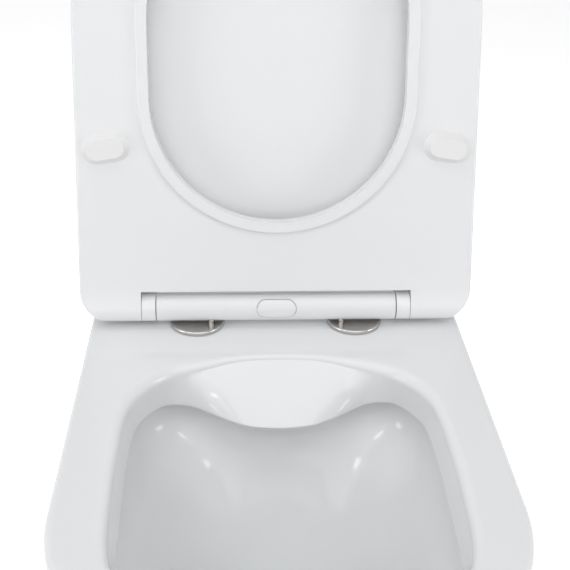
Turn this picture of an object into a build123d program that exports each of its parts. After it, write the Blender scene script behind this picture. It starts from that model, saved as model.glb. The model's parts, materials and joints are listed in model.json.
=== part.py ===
from build123d import *
import math
import os

# Wall hung rimless toilet with a lift-off soft-close seat, in millimetres.
# The origin is midway between the two wall studs, on the finished wall face.
# X runs to the user's right as they face the wall, Y into the wall, Z up.
# Seat pieces are drawn closed, flat over the rim, about the hinge axis, and then turned open.

# Driving sizes of the ceramic pan
PAN_LENGTH = 548.0
PAN_HALF_WIDTH = 181.0
PAN_NOSE_LENGTH = 174.0
PAN_REAR_TAPER = 11.5
RIM_ABOVE_STUDS = 80.0
PAN_HEIGHT = 345.0
PAN_FOOT_LENGTH = 345.0
PAN_FOOT_HALF_WIDTH = 112.0
PAN_STRAIGHT_DROP = 90.0
PAN_LOFT_DEPTHS = [90.0, 125.0, 170.0, 225.0, 285.0]
PAN_WIDTH_EASE = 1.7
PAN_LENGTH_EASE = 1.5
CERAMIC_WALL = 12.0
DECK_THICKNESS = 16.0
RIM_ROUND = 6.0
FOOT_ROUND = 14.0

# Bowl opening, measured forward from the hinge axis
RIM_WIDTH = 46.0
FRONT_RIM_WIDTH = 45.0
LIP_DEPTH = 38.0
LIP_MARGIN = 4.5
MOUTH_ROUND = 4.0
MOUTH_OVAL_START = 290.0
MOUTH_BACK_PLACES = [(0.0, 57.5), (42.0, 61.4), (79.0, 73.6), (104.0, 87.5), (120.0, 105.0), (130.5, 136.0)]
LIP_BACK_PLACES = [(0.0, 117.3), (33.0, 111.4), (62.0, 92.5), (94.0, 79.8), (115.0, 94.0), (127.0, 130.0)]
SIDE_PLACES = [181.0, 236.0, 290.0]
SIDE_BOW = 1.0
NOSE_ANGLES = [30.0, 60.0, 90.0]
CHANNEL_UNDERCUT = 4.5
CHANNEL_BACK = 59.0
CHANNEL_SQUARENESS = 3.6
CHANNEL_SKIN_DEPTH = 4.0
SUMP_DEPTH = 327.0
# Bowl sections under the channel: depth, share of the mouth's half-width, back, share of the mouth's front
# place and squareness
BOWL_SECTIONS = [
    (100.0, 0.874, 88.0, 0.947, 2.8),
    (150.0, 0.667, 118.0, 0.837, 2.5),
    (205.0, 0.489, 146.0, 0.692, 2.3),
    (255.0, 0.370, 156.0, 0.612, 2.2),
    (SUMP_DEPTH, 0.252, 160.0, 0.556, 2.0),
]
BOWL_SPLIT = 193.0
CHANNEL_FLOOR_DEPTH = 60.0
CHANNEL_FLOOR_SET_IN = 3.0
OVAL_POINTS = 24

# Water ways
INLET_ABOVE_STUDS = 35.0
INLET_RADIUS = 27.5
INLET_LENGTH = 60.0
INLET_WALL = 9.0
INLET_SLOT_WIDTH = 60.0
INLET_SLOT_HEIGHT = 16.0
INLET_SLOT_REACH = 12.0
INLET_SLOT_BELOW_LIP = 1.0
INLET_SLOT_OVERLAP = 1.0
OUTLET_BELOW_STUDS = 100.0
OUTLET_RADIUS = 51.0
OUTLET_BORE_RADIUS = 43.0
OUTLET_LENGTH = 112.0
OUTLET_SET_BACK = 8.0
TRAP_RADIUS = 30.0
TRAP_WALL = 10.0
TRAP_DROP = 121.0
TRAP_BEND_RADIUS = 52.0
TRAP_START = 186.0
TRAP_RISE_START = 122.0
TRAP_RISE_END = 60.0
TRAP_END_OVERLAP = 6.0
WEB_FRONT = 164.0
WEB_THICKNESS = 12.0

# Wall fixings
STUD_SPACING = 180.0
STUD_HOLE_RADIUS = 6.5
BRACKET_THICKNESS = 5.0
BRACKET_HEIGHT = 44.0
BRACKET_DEPTH = 52.0
BRACKET_FOOT = 18.0
SIDE_SCREW_FROM_WALL = 32.0
SIDE_SCREW_RADIUS = 4.0
SIDE_SCREW_HEAD_RADIUS = 6.5
SIDE_SCREW_HEAD_LENGTH = 4.5
SIDE_BUSH_RADIUS = 10.8
SIDE_BUSH_FLANGE_RADIUS = 15.0
SIDE_BUSH_FLANGE = 3.0
SIDE_HOLE_RADIUS = 11.0
SIDE_SCREW_TAIL = 6.0
SIDE_SCREW_SOCKET = 3.0
SIDE_BUSH_BACK = 2.0
SIDE_GAP = 0.1
CAP_RADIUS = 13.5
CAP_THICKNESS = 2.4
CAP_ROUND = 1.44
CAP_SPIGOT_LENGTH = 4.0

# Hinge line
HINGE_TO_WALL = 104.0
HINGE_ABOVE_RIM = 18.0
OPEN_ANGLE = 101.65
BARREL_RADIUS = 13.0
BARREL_WALL = 2.2
BARREL_HALF_LENGTH = 110.4
BARREL_WEB = 2.0
BARREL_CENTRE_RIB = 2.0
MECHANISM_HALF_LENGTH = 68.0
EAR_GAP = 1.0
EAR_WIDTH = 12.6
KNUCKLE_GAP = 0.4
RUNNING_CLEARANCE = 0.05
BODY_CLEARANCE = 0.35

# Seat ring
SEAT_SET_IN = 1.0
SEAT_TAPER = 3.5
SEAT_FRONT_SET_IN = 4.0
SEAT_NOSE_LENGTH = 182.0
SEAT_CORNER_RADIUS = 32.0
SEAT_REAR_MARGIN = 0.6
RING_BELOW_AXIS = 10.4
RING_THICKNESS = 13.6
RING_TOP_ROUND = 5.0
RING_UNDER_ROUND = 1.6
RING_EDGE_ROUND = 2.5
KNUCKLE_BLEND = 60.0
KNUCKLE_END_ROUND = 5.0
RING_SIDE_WIDTH = 67.5
RING_FRONT_WIDTH = 66.0
HOLE_BACK = 84.0
HOLE_NOSE_LENGTH = 112.0
HOLE_LIP_WIDTH = 10.0
HOLE_LIP_HEIGHT = 4.0
NOTCH_FRONT = 18.0

# Seat ring bumpers
BUMPER_FROM_SIDE = 28.7
BUMPER_FORWARD = 152.0
FRONT_BUMPER_FROM_SIDE = 68.0
FRONT_BUMPER_FROM_FRONT = 74.0
BUMPER_BASE_LENGTH = 42.5
BUMPER_BASE_WIDTH = 27.0
BUMPER_TAPER = 4.8
BUMPER_TILT = 9.0
FRONT_BUMPER_TILT = 48.0
BUMPER_STEM_RADIUS = 3.0
BUMPER_STEM_LENGTH = 5.0
REST_GAP = 0.4

# Lid
LID_ABOVE_RING = 2.0
LID_THICKNESS = 12.0
LID_SKIN = 4.5
LID_SKIRT = 9.0
LID_REAR_BEAM = 10.0
LID_EAR_WEB = 4.0
LID_ROUND = 4.0
LID_PAD_RADIUS = 8.0
LID_PAD_FROM_SIDE = [34.0, 54.0]
LID_PAD_FORWARD = [92.0, 326.0]
LID_BUMPER_RADIUS = 6.0

# Seat fixings on the pan
SEAT_BOLT_SPACING = 155.0
SEAT_HOLE_RADIUS = 7.0
DISC_ACROSS = 73.5
DISC_BEHIND_AXIS = 1.5
DISC_RADIUS = 25.5
DISC_THICKNESS = 3.2
DISC_RECESS_RADIUS = 22.0
DISC_RECESS = 0.5
DISC_ROUND = 1.2
GASKET_THICKNESS = 0.8
GASKET_RADIUS = 23.5
BOLT_RADIUS = 3.0
BOLT_HEAD_RADIUS = 5.5
BOLT_HEAD_HEIGHT = 1.8
BOLT_LENGTH = 40.0
BOLT_SLOT_WIDTH = 1.2
BOLT_SLOT_DEPTH = 0.8
SLEEVE_LENGTH = 27.0
SLEEVE_NUT_RADIUS = 6.5
SLEEVE_NUT_LENGTH = 7.0
POST_ACROSS = 60.5
POST_BEFORE_AXIS = 7.0
POST_RADIUS = 2.9
POST_NECK_RADIUS = 1.9
POST_TOP = 6.4
POST_HEAD = 0.8
POST_TIP_RADIUS = 1.6
POST_STOP_RADIUS = 4.0
POST_BOSS_RADIUS = 5.0

# Quick-release button and latches
BUTTON_LENGTH = 36.0
BUTTON_HEIGHT = 16.4
BUTTON_GAP = 0.45
BUTTON_ANGLE = 18.0
BUTTON_PROUD = 0.5
BUTTON_DEPTH = 7.0
BUTTON_FLANGE_OVERLAP = 2.2
BUTTON_FLANGE_THICKNESS = 1.7
BUTTON_FLANGE_HEIGHT = 14.0
BUTTON_FLANGE_STEP = 0.6
LEG_WIDTH = 3.0
LEG_HEIGHT = 3.4
LEG_CENTRE = 14.0
LEG_REACH = 3.0
LATCH_INNER_END = 6.5
LATCH_THICKNESS = 3.0
LATCH_HEIGHT = 9.6
LATCH_BODY_END = 27.0
LATCH_BLADE_LOW = 0.4
LATCH_BLADE_THICKNESS = 2.4
LATCH_GUIDE_PLACE = 42.0
LATCH_GUIDE_THICKNESS = 2.0
SPRING_RADIUS = 2.0
SPRING_WIRE = 0.5
SPRING_TURNS = 5
SPRING_END_GAP = 0.05
SPRING_SEAT_HALF_DEPTH = 2.2
SPRING_SEAT_HALF_HEIGHT = 2.4

# Soft-close dampers inside the barrel ends
DAMPER_RADIUS = 10.7
DAMPER_BORE_RADIUS = 8.0
DAMPER_FLOOR = 2.5
ROTOR_RADIUS = 4.2
ROTOR_LENGTH = 30.0
ROTOR_END_GAP = 0.4
DAMPER_COVER = 4.5
VANE_THICKNESS = 2.4
VANE_CLEARANCE = 0.08
DAMPER_RIB_THICKNESS = 2.4
DAMPER_RIB_CLEARANCE = 0.1
SHAFT_RADIUS = 3.0
SHAFT_KEY_WIDTH = 4.4
SHAFT_IN_KNUCKLE = 15.0
SHAFT_END_GAP = 1.0
PIVOT_RADIUS = 2.1
SEAL_GROOVE_RADIUS = 5.0
SEAL_WIDTH = 2.0
END_CAP_THICKNESS = 2.2

# How far a cutting shape runs past what it cuts, and how far pieces of one solid run into each other
PAST = 5.0
FAR = 1500.0
INTO = 0.5

# Places worked out from the sizes above
PAN_FRONT_CENTRE = PAN_LENGTH - PAN_NOSE_LENGTH
PAN_WALL_HALF_WIDTH = PAN_HALF_WIDTH - PAN_REAR_TAPER
MOUTH_HALF_WIDTH = PAN_HALF_WIDTH - RIM_WIDTH
MOUTH_FRONT = PAN_LENGTH - HINGE_TO_WALL - FRONT_RIM_WIDTH
CHANNEL_HALF_WIDTH = MOUTH_HALF_WIDTH + CHANNEL_UNDERCUT
CHANNEL_FRONT = MOUTH_FRONT + CHANNEL_UNDERCUT
SEAT_HALF_WIDTH = PAN_HALF_WIDTH - SEAT_SET_IN
SEAT_WAIST_HALF_WIDTH = SEAT_HALF_WIDTH - SEAT_TAPER
SEAT_LENGTH = PAN_LENGTH - HINGE_TO_WALL - SEAT_FRONT_SET_IN
SEAT_FRONT_CENTRE = SEAT_LENGTH - SEAT_NOSE_LENGTH
HOLE_HALF_WIDTH = SEAT_HALF_WIDTH - RING_SIDE_WIDTH
HOLE_FRONT = SEAT_LENGTH - RING_FRONT_WIDTH
HOLE_STRAIGHT_END = HOLE_FRONT - HOLE_NOSE_LENGTH
LID_PAD_PLACES = [(SEAT_HALF_WIDTH - side, ahead) for side, ahead in zip(LID_PAD_FROM_SIDE, LID_PAD_FORWARD)]
RIM_Z = RIM_ABOVE_STUDS
FOOT_Z = RIM_Z - PAN_HEIGHT
AXIS_Y = -HINGE_TO_WALL
AXIS_Z = RIM_Z + HINGE_ABOVE_RIM
EAR_INNER = BARREL_HALF_LENGTH + EAR_GAP
EAR_OUTER = EAR_INNER + EAR_WIDTH
KNUCKLE_INNER = EAR_OUTER + KNUCKLE_GAP
RING_UNDER = -RING_BELOW_AXIS
RING_TOP = RING_UNDER + RING_THICKNESS
LID_UNDER = RING_TOP + LID_ABOVE_RING
LID_TOP = LID_UNDER + LID_THICKNESS
BUMPER_HEIGHT = HINGE_ABOVE_RIM - RING_BELOW_AXIS - REST_GAP
DISC_TOP = RIM_Z + GASKET_THICKNESS + DISC_THICKNESS
RECESS_TOP = DISC_TOP - DISC_RECESS
BOLT_ACROSS = SEAT_BOLT_SPACING / 2
DECK_UNDER = RIM_Z - DECK_THICKNESS
FOOT_TOP = FOOT_Z + CERAMIC_WALL
WEB_BACK = WEB_THICKNESS - WEB_FRONT
WEB_FACE = -WEB_FRONT
BOWL_MIDDLE = AXIS_Y - BOWL_SPLIT

# Places inside the hinge barrel, about the hinge axis
BARREL_BORE = BARREL_RADIUS - BARREL_WALL
DAMPER_START = MECHANISM_HALF_LENGTH + BARREL_WEB
ROTOR_START = DAMPER_START + DAMPER_FLOOR + ROTOR_END_GAP
COVER_START = ROTOR_START + ROTOR_LENGTH + ROTOR_END_GAP
DAMPER_END = COVER_START + DAMPER_COVER
KNUCKLE_END = KNUCKLE_INNER + SHAFT_IN_KNUCKLE
BLADE_TOP = LATCH_BLADE_LOW + LATCH_BLADE_THICKNESS
BUTTON_FACE = BARREL_RADIUS + BUTTON_PROUD
BUTTON_BACK = BUTTON_FACE - BUTTON_DEPTH
BUTTON_FLANGE_LOW = BUTTON_BACK - BUTTON_FLANGE_STEP
BUTTON_TURN = math.radians(BUTTON_ANGLE)
BUTTON_OUTWARD = (0, -math.cos(BUTTON_TURN), math.sin(BUTTON_TURN))
BUTTON_PLANE = Plane(origin=(0, 0, 0), x_dir=(1, 0, 0), z_dir=BUTTON_OUTWARD)

# Places of the wall fixings, for the right side
SIDE_TAPER = PAN_REAR_TAPER / PAN_FRONT_CENTRE
SIDE_OUTER = PAN_WALL_HALF_WIDTH + SIDE_TAPER * SIDE_SCREW_FROM_WALL
BUSH_FACE = SIDE_OUTER - CERAMIC_WALL - SIDE_TAPER * SIDE_BUSH_FLANGE_RADIUS - SIDE_GAP
ARM_FACE = BUSH_FACE - SIDE_BUSH_FLANGE
BUSH_END = SIDE_OUTER - SIDE_BUSH_BACK
CAP_SPIGOT_RADIUS = SIDE_SCREW_HEAD_RADIUS + 3 * SIDE_GAP
HEAD_SEAT = BUSH_END - CAP_SPIGOT_LENGTH - SIDE_SCREW_HEAD_LENGTH - INTO


def save(shape, name):
    export_step(shape, "parts/" + name + ".step")


def group(shapes):
    return Compound(children=list(shapes))


def cylinder_x(radius, start, end, y=0.0, z=0.0):
    """A cylinder along X between two X places."""
    middle = (start + end) / 2
    return Pos(middle, y, z) * Rot(0, 90, 0) * Cylinder(radius, abs(end - start))


def cylinder_y(radius, start, end, x=0.0, z=0.0):
    """A cylinder along Y between two Y places."""
    middle = (start + end) / 2
    return Pos(x, middle, z) * Rot(90, 0, 0) * Cylinder(radius, abs(end - start))


def cylinder_z(radius, start, end, x=0.0, y=0.0):
    """An upright cylinder between two heights."""
    middle = (start + end) / 2
    return Pos(x, y, middle) * Cylinder(radius, abs(end - start))


def block(low, high):
    """A box between two corners."""
    size = [high[i] - low[i] for i in range(3)]
    middle = [(high[i] + low[i]) / 2 for i in range(3)]
    return Pos(*middle) * Box(*size)


def both_sides(shape):
    """The shape and its mirror image in the middle plane."""
    return [shape, mirror(shape, about=Plane.YZ)]


# Ceramic pan: one casting, given as regions that meet face to face

def pan_reach(depth):
    """Half-width at the widest place, half-width at the wall and length of the pan at a depth."""
    fall = max(0.0, depth - PAN_STRAIGHT_DROP) / (PAN_HEIGHT - PAN_STRAIGHT_DROP)
    ease = fall ** PAN_WIDTH_EASE
    widest = PAN_HALF_WIDTH - (PAN_HALF_WIDTH - PAN_FOOT_HALF_WIDTH) * ease
    at_wall = PAN_WALL_HALF_WIDTH - (PAN_WALL_HALF_WIDTH - PAN_FOOT_HALF_WIDTH) * ease
    length = PAN_LENGTH - (PAN_LENGTH - PAN_FOOT_LENGTH) * fall ** PAN_LENGTH_EASE
    return widest, at_wall, length


def pan_section(depth, inset=0.0, back=0.0):
    """The pan's plan outline at a depth below the rim: straight sides and a half-ellipse front."""
    widest, at_wall, length = pan_reach(depth)
    side = widest - inset
    rear = at_wall - inset
    centre = PAN_FRONT_CENTRE * length / PAN_LENGTH
    nose = length - centre - inset
    z = RIM_Z - depth
    left = Line((-rear, back, z), (-side, -centre, z))
    right = Line((side, -centre, z), (rear, back, z))
    rear_line = Line((rear, back, z), (-rear, back, z))
    front_left = EllipticalCenterArc((0, -centre, z), side, nose, 180, arc_size=90)
    front_right = EllipticalCenterArc((0, -centre, z), side, nose, 270, arc_size=90)
    return make_face(Curve() + [left, front_left, front_right, right, rear_line])


def pan_solid(top, last_depth, inset=0.0, back=0.0):
    """The pan's outer form drawn in by an inset: upright down to the straight drop, then tapering."""
    depths = PAN_LOFT_DEPTHS + [last_depth]
    lower = loft([pan_section(depth, inset, back) for depth in depths])
    upright = pan_section(PAN_STRAIGHT_DROP, inset, back)
    return lower + extrude(upright, amount=top - (RIM_Z - PAN_STRAIGHT_DROP), dir=(0, 0, 1))


def front_edges(face):
    """The edges of a level face, without the one on the wall."""
    return [edge for edge in face.edges() if edge.center().Y < -INTO]


def oval_section(depth, half_width, back, front, squareness):
    """A closed oval between two places in front of the hinge axis, as a superellipse."""
    centre = (back + front) / 2
    half_length = (front - back) / 2
    points = []
    for step in range(OVAL_POINTS):
        angle = 2 * math.pi * step / OVAL_POINTS
        across = math.copysign(abs(math.cos(angle)) ** (2 / squareness), math.cos(angle))
        along = math.copysign(abs(math.sin(angle)) ** (2 / squareness), math.sin(angle))
        points.append((half_width * across, AXIS_Y - centre - half_length * along, RIM_Z - depth))
    return make_face(Spline(points, periodic=True))


def bowl_sections(grow=0.0):
    """The bowl below its lip, from the flushing channel down to the sump."""
    channel = (LIP_DEPTH, CHANNEL_HALF_WIDTH, CHANNEL_BACK, CHANNEL_FRONT, CHANNEL_SQUARENESS)
    floor_in = CHANNEL_FLOOR_SET_IN
    channel_floor = (CHANNEL_FLOOR_DEPTH, CHANNEL_HALF_WIDTH - floor_in, CHANNEL_BACK + 2 * floor_in,
                     CHANNEL_FRONT - 2 * floor_in, CHANNEL_SQUARENESS)
    sections = [channel, channel_floor]
    for depth, width_share, back, front_share, squareness in BOWL_SECTIONS:
        sections.append((depth, width_share * MOUTH_HALF_WIDTH, back, front_share * MOUTH_FRONT, squareness))
    faces = []
    for depth, half_width, back, front, squareness in sections:
        deeper = depth + (grow if depth == SUMP_DEPTH else 0.0)
        faces.append(oval_section(deeper, half_width + grow, back - grow, front + grow, squareness))
    return faces


def bowl_outside():
    """The bowl's outer skin, with the trapway that leaves it."""
    top = oval_section(CHANNEL_SKIN_DEPTH, CHANNEL_HALF_WIDTH + CERAMIC_WALL, CHANNEL_BACK - CERAMIC_WALL,
                       CHANNEL_FRONT + CERAMIC_WALL, CHANNEL_SQUARENESS)
    return loft([top] + bowl_sections(CERAMIC_WALL)) + trap_tube(TRAP_RADIUS + TRAP_WALL)


def mirrored_outline(half_points, depth):
    """A closed smooth outline through half points, from the back middle round to the front middle."""
    right = [(x, AXIS_Y - s, RIM_Z - depth) for x, s in half_points]
    left = [(-x, AXIS_Y - s, RIM_Z - depth) for x, s in reversed(half_points[1:-1])]
    return make_face(Spline(right + left, periodic=True))


def mouth_places(back_places, margin):
    """Half an outline of the mouth, drawn in by a margin: given back, straight sides, oval front."""
    side = MOUTH_HALF_WIDTH - margin
    front = MOUTH_FRONT - margin
    places = list(back_places)
    start, middle, end = SIDE_PLACES
    places += [(side - SIDE_BOW, start), (side, middle), (side - SIDE_BOW, end)]
    for angle in NOSE_ANGLES:
        turn = math.radians(angle)
        across = (side - SIDE_BOW) * math.cos(turn) if angle < 90 else 0.0
        places.append((across, MOUTH_OVAL_START + (front - MOUTH_OVAL_START) * math.sin(turn)))
    return places


def trap_path():
    """The trapway's centre line: forward under the dam, up over the weir, level to the spigot."""
    low = -OUTLET_BELOW_STUDS - TRAP_DROP
    high = -OUTLET_BELOW_STUDS
    start = (0, AXIS_Y - TRAP_START, low)
    rise = (0, AXIS_Y - TRAP_RISE_START, low)
    weir = (0, AXIS_Y - TRAP_RISE_END, high)
    end = (0, TRAP_END_OVERLAP - OUTLET_LENGTH, high)
    return FilletPolyline(start, rise, weir, end, radius=TRAP_BEND_RADIUS)


def trap_tube(radius):
    path = trap_path()
    section = Plane(origin=path @ 0, z_dir=path % 0) * Circle(radius)
    return sweep(section, path)


def bowl_hollow():
    """All the open space of the bowl: mouth, the band down to the lip, channel and sump."""
    mouth = mirrored_outline(mouth_places(MOUTH_BACK_PLACES, 0.0), 0.0)
    lip = mirrored_outline(mouth_places(LIP_BACK_PLACES, LIP_MARGIN), LIP_DEPTH)
    band = loft([mouth, lip], ruled=True) + extrude(mouth, amount=2 * PAST, dir=(0, 0, 1))
    return band + loft(bowl_sections())


def between(low_y, high_y, low_z, high_z):
    return block((-FAR, low_y, low_z), (FAR, high_y, high_z))


def halves(shape):
    """The solids left and right of the middle plane."""
    left = shape & block((-FAR, -FAR, -FAR), (0, FAR, FAR))
    right = shape & block((0, -FAR, -FAR), (FAR, FAR, FAR))
    return list(left.solids()) + list(right.solids())


def make_pan():
    """The casting's regions by name, each with its solids."""
    outer = pan_solid(RIM_Z, PAN_HEIGHT)
    outer = fillet(front_edges(outer.faces().sort_by(Axis.Z)[-1]), RIM_ROUND)
    outer = fillet(front_edges(outer.faces().sort_by(Axis.Z)[0]), FOOT_ROUND)
    hollow = pan_solid(DECK_UNDER, PAN_HEIGHT - CERAMIC_WALL, inset=CERAMIC_WALL, back=4 * PAST)
    bowl_space = bowl_hollow()
    skin = bowl_outside()
    trap = trap_tube(TRAP_RADIUS)

    # Rim with the mouth's rounded edge and the seat fixing holes
    rim = (outer & between(-FAR, FAR, DECK_UNDER, FAR)) - bowl_space
    mouth_edges = [edge for edge in rim.faces().sort_by(Axis.Z)[-1].edges()
                   if abs(edge.center().X) < RIM_WIDTH / 2 and edge.length > 4 * MOUTH_HALF_WIDTH]
    rim = fillet(mouth_edges, MOUTH_ROUND)
    for side in (-1, 1):
        rim = rim - cylinder_z(SEAT_HOLE_RADIUS, DECK_UNDER - PAST, RIM_Z + PAST, side * BOLT_ACROSS, AXIS_Y)

    # Bowl, in the space in front of the web
    front_space = hollow & between(-FAR, WEB_FACE, -FAR, DECK_UNDER)
    bowl = (skin & front_space) - bowl_space - trap
    front_bowl = bowl & between(-FAR, BOWL_MIDDLE, -FAR, FAR)
    rear_bowl = bowl & between(BOWL_MIDDLE, FAR, -FAR, FAR)

    # Web that closes the front space, with the bowl's back and the trapway passing through it
    web_space = hollow & between(WEB_FACE, WEB_BACK, -FAR, DECK_UNDER)
    web = web_space - bowl_space - trap

    # Skirt and foot
    skirt = (outer & between(-FAR, FAR, FOOT_TOP, DECK_UNDER)) - hollow - skin
    side_holes = both_sides(cylinder_x(SIDE_HOLE_RADIUS, STUD_SPACING / 2, FAR, -SIDE_SCREW_FROM_WALL))
    skirt = skirt - side_holes[0] - side_holes[1]
    skirt_nose = skirt & between(-FAR, -PAN_FRONT_CENTRE, -FAR, FAR)
    skirt_sides = skirt & between(-PAN_FRONT_CENTRE, FAR, -FAR, FAR)
    foot = outer & between(-FAR, FAR, -FAR, FOOT_TOP)

    # Inlet socket and outlet spigot, from the web back to the wall
    inlet_z = INLET_ABOVE_STUDS
    inlet = cylinder_y(INLET_RADIUS + INLET_WALL, WEB_BACK, 0.0, z=inlet_z)
    inlet = inlet & between(WEB_BACK, 0, -FAR, DECK_UNDER)
    inlet = inlet - cylinder_y(INLET_RADIUS, -INLET_LENGTH, PAST, z=inlet_z)
    slot_z = RIM_Z - LIP_DEPTH - INLET_SLOT_BELOW_LIP - INLET_SLOT_HEIGHT / 2
    slot_end = AXIS_Y - CHANNEL_BACK - INLET_SLOT_REACH
    slot = block((-INLET_SLOT_WIDTH / 2, slot_end, slot_z - INLET_SLOT_HEIGHT / 2),
                 (INLET_SLOT_WIDTH / 2, INLET_SLOT_OVERLAP - INLET_LENGTH, slot_z + INLET_SLOT_HEIGHT / 2))
    outlet = cylinder_y(OUTLET_RADIUS, -OUTLET_LENGTH, -OUTLET_SET_BACK, z=-OUTLET_BELOW_STUDS)
    behind_web = between(WEB_BACK, 2 * INTO - OUTLET_LENGTH, -FAR, DECK_UNDER)
    outlet = outlet + (trap_tube(TRAP_RADIUS + TRAP_WALL) & behind_web)
    outlet_bore = cylinder_y(OUTLET_BORE_RADIUS, CERAMIC_WALL - OUTLET_LENGTH, PAST, z=-OUTLET_BELOW_STUDS)
    outlet = outlet - trap - outlet_bore

    return {
        "pan_rim": halves(rim),
        "pan_bowl": halves(front_bowl) + halves(rear_bowl - slot),
        "pan_web": halves(web - slot),
        "pan_skirt": halves(skirt_nose) + halves(skirt_sides),
        "pan_foot": foot.solids(),
        "pan_inlet": (inlet - slot).solids(),
        "pan_outlet": outlet.solids(),
    }


# Seat pieces, drawn closed about the hinge axis

def at_axis(shape):
    return Pos(0, AXIS_Y, AXIS_Z) * shape


def opened(shape):
    """Turns a piece that is drawn closed about the hinge axis up to where it stands open."""
    return Pos(0, AXIS_Y, AXIS_Z) * Rot(-OPEN_ANGLE, 0, 0) * shape


def seat_outline(height, inset=0.0):
    """The plan outline that ring and lid share: round rear corners, near straight sides, oval front."""
    rear = BARREL_RADIUS + SEAT_REAR_MARGIN - inset
    corner = SEAT_CORNER_RADIUS - inset
    side = SEAT_HALF_WIDTH - inset
    waist = SEAT_WAIST_HALF_WIDTH - inset
    nose = SEAT_LENGTH - SEAT_FRONT_CENTRE - inset
    centre = (0, -SEAT_FRONT_CENTRE, height)
    corner_x = side - corner
    corner_y = rear - corner
    rear_line = Line((corner_x, rear, height), (-corner_x, rear, height))
    left_corner = CenterArc((-corner_x, corner_y, height), corner, 90, 90)
    left_side = Line((-side, corner_y, height), (-waist, -SEAT_FRONT_CENTRE, height))
    left_nose = EllipticalCenterArc(centre, waist, nose, 180, arc_size=90)
    right_nose = EllipticalCenterArc(centre, waist, nose, 270, arc_size=90)
    right_side = Line((waist, -SEAT_FRONT_CENTRE, height), (side, corner_y, height))
    right_corner = CenterArc((corner_x, corner_y, height), corner, 0, 90)
    edges = [rear_line, left_corner, left_side, left_nose, right_nose, right_side, right_corner]
    return make_face(Curve() + edges)


def hole_outline(height, grow=0.0):
    """The opening in the seat ring: round back, straight sides, oval front."""
    side = HOLE_HALF_WIDTH + grow
    back_y = -(HOLE_BACK + HOLE_HALF_WIDTH)
    nose_y = -HOLE_STRAIGHT_END
    nose = HOLE_FRONT - HOLE_STRAIGHT_END + grow
    back_right = CenterArc((0, back_y, height), side, 0, 90)
    back_left = CenterArc((0, back_y, height), side, 90, 90)
    left = Line((-side, back_y, height), (-side, nose_y, height))
    nose_left = EllipticalCenterArc((0, nose_y, height), side, nose, 180, arc_size=90)
    nose_right = EllipticalCenterArc((0, nose_y, height), side, nose, 270, arc_size=90)
    right = Line((side, nose_y, height), (side, back_y, height))
    return make_face(Curve() + [back_right, back_left, left, nose_left, nose_right, right])


def keyed_bar(start, end):
    """A round shaft end with two flats, along the hinge axis."""
    section = Circle(SHAFT_RADIUS) & Rectangle(4 * SHAFT_RADIUS, SHAFT_KEY_WIDTH)
    return Pos(start, 0, 0) * Rot(0, 90, 0) * extrude(section, amount=end - start)


def bumper_places():
    """Right-hand bumper places on the ring: across, forward and the tilt of the long side."""
    rear = (SEAT_HALF_WIDTH - BUMPER_FROM_SIDE, BUMPER_FORWARD, BUMPER_TILT)
    front_forward = SEAT_LENGTH - FRONT_BUMPER_FROM_FRONT
    front = (SEAT_HALF_WIDTH - FRONT_BUMPER_FROM_SIDE, front_forward, FRONT_BUMPER_TILT)
    return [rear, front]


def knuckle_blend():
    """Fills the hollow between the ring's flat underside and its round rear with a large arc."""
    flat_y = -math.sqrt((BARREL_RADIUS + KNUCKLE_BLEND) ** 2 - (RING_BELOW_AXIS + KNUCKLE_BLEND) ** 2)
    centre_z = RING_UNDER - KNUCKLE_BLEND
    share = BARREL_RADIUS / (BARREL_RADIUS + KNUCKLE_BLEND)
    on_flat = (0, flat_y, RING_UNDER)
    on_knuckle = (0, flat_y * share, centre_z * share)
    turn = math.atan2(centre_z * (share - 1), flat_y * (share - 1)) / 2 + math.pi / 4
    halfway = (0, flat_y + KNUCKLE_BLEND * math.cos(turn), centre_z + KNUCKLE_BLEND * math.sin(turn))
    inside = RING_UNDER / 2
    arc = ThreePointArc(on_flat, halfway, on_knuckle)
    back = Polyline(on_knuckle, (0, on_knuckle[1], inside), (0, flat_y, inside), on_flat)
    return extrude(make_face(Curve() + [arc, back]), amount=SEAT_HALF_WIDTH, dir=(1, 0, 0), both=True)


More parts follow.
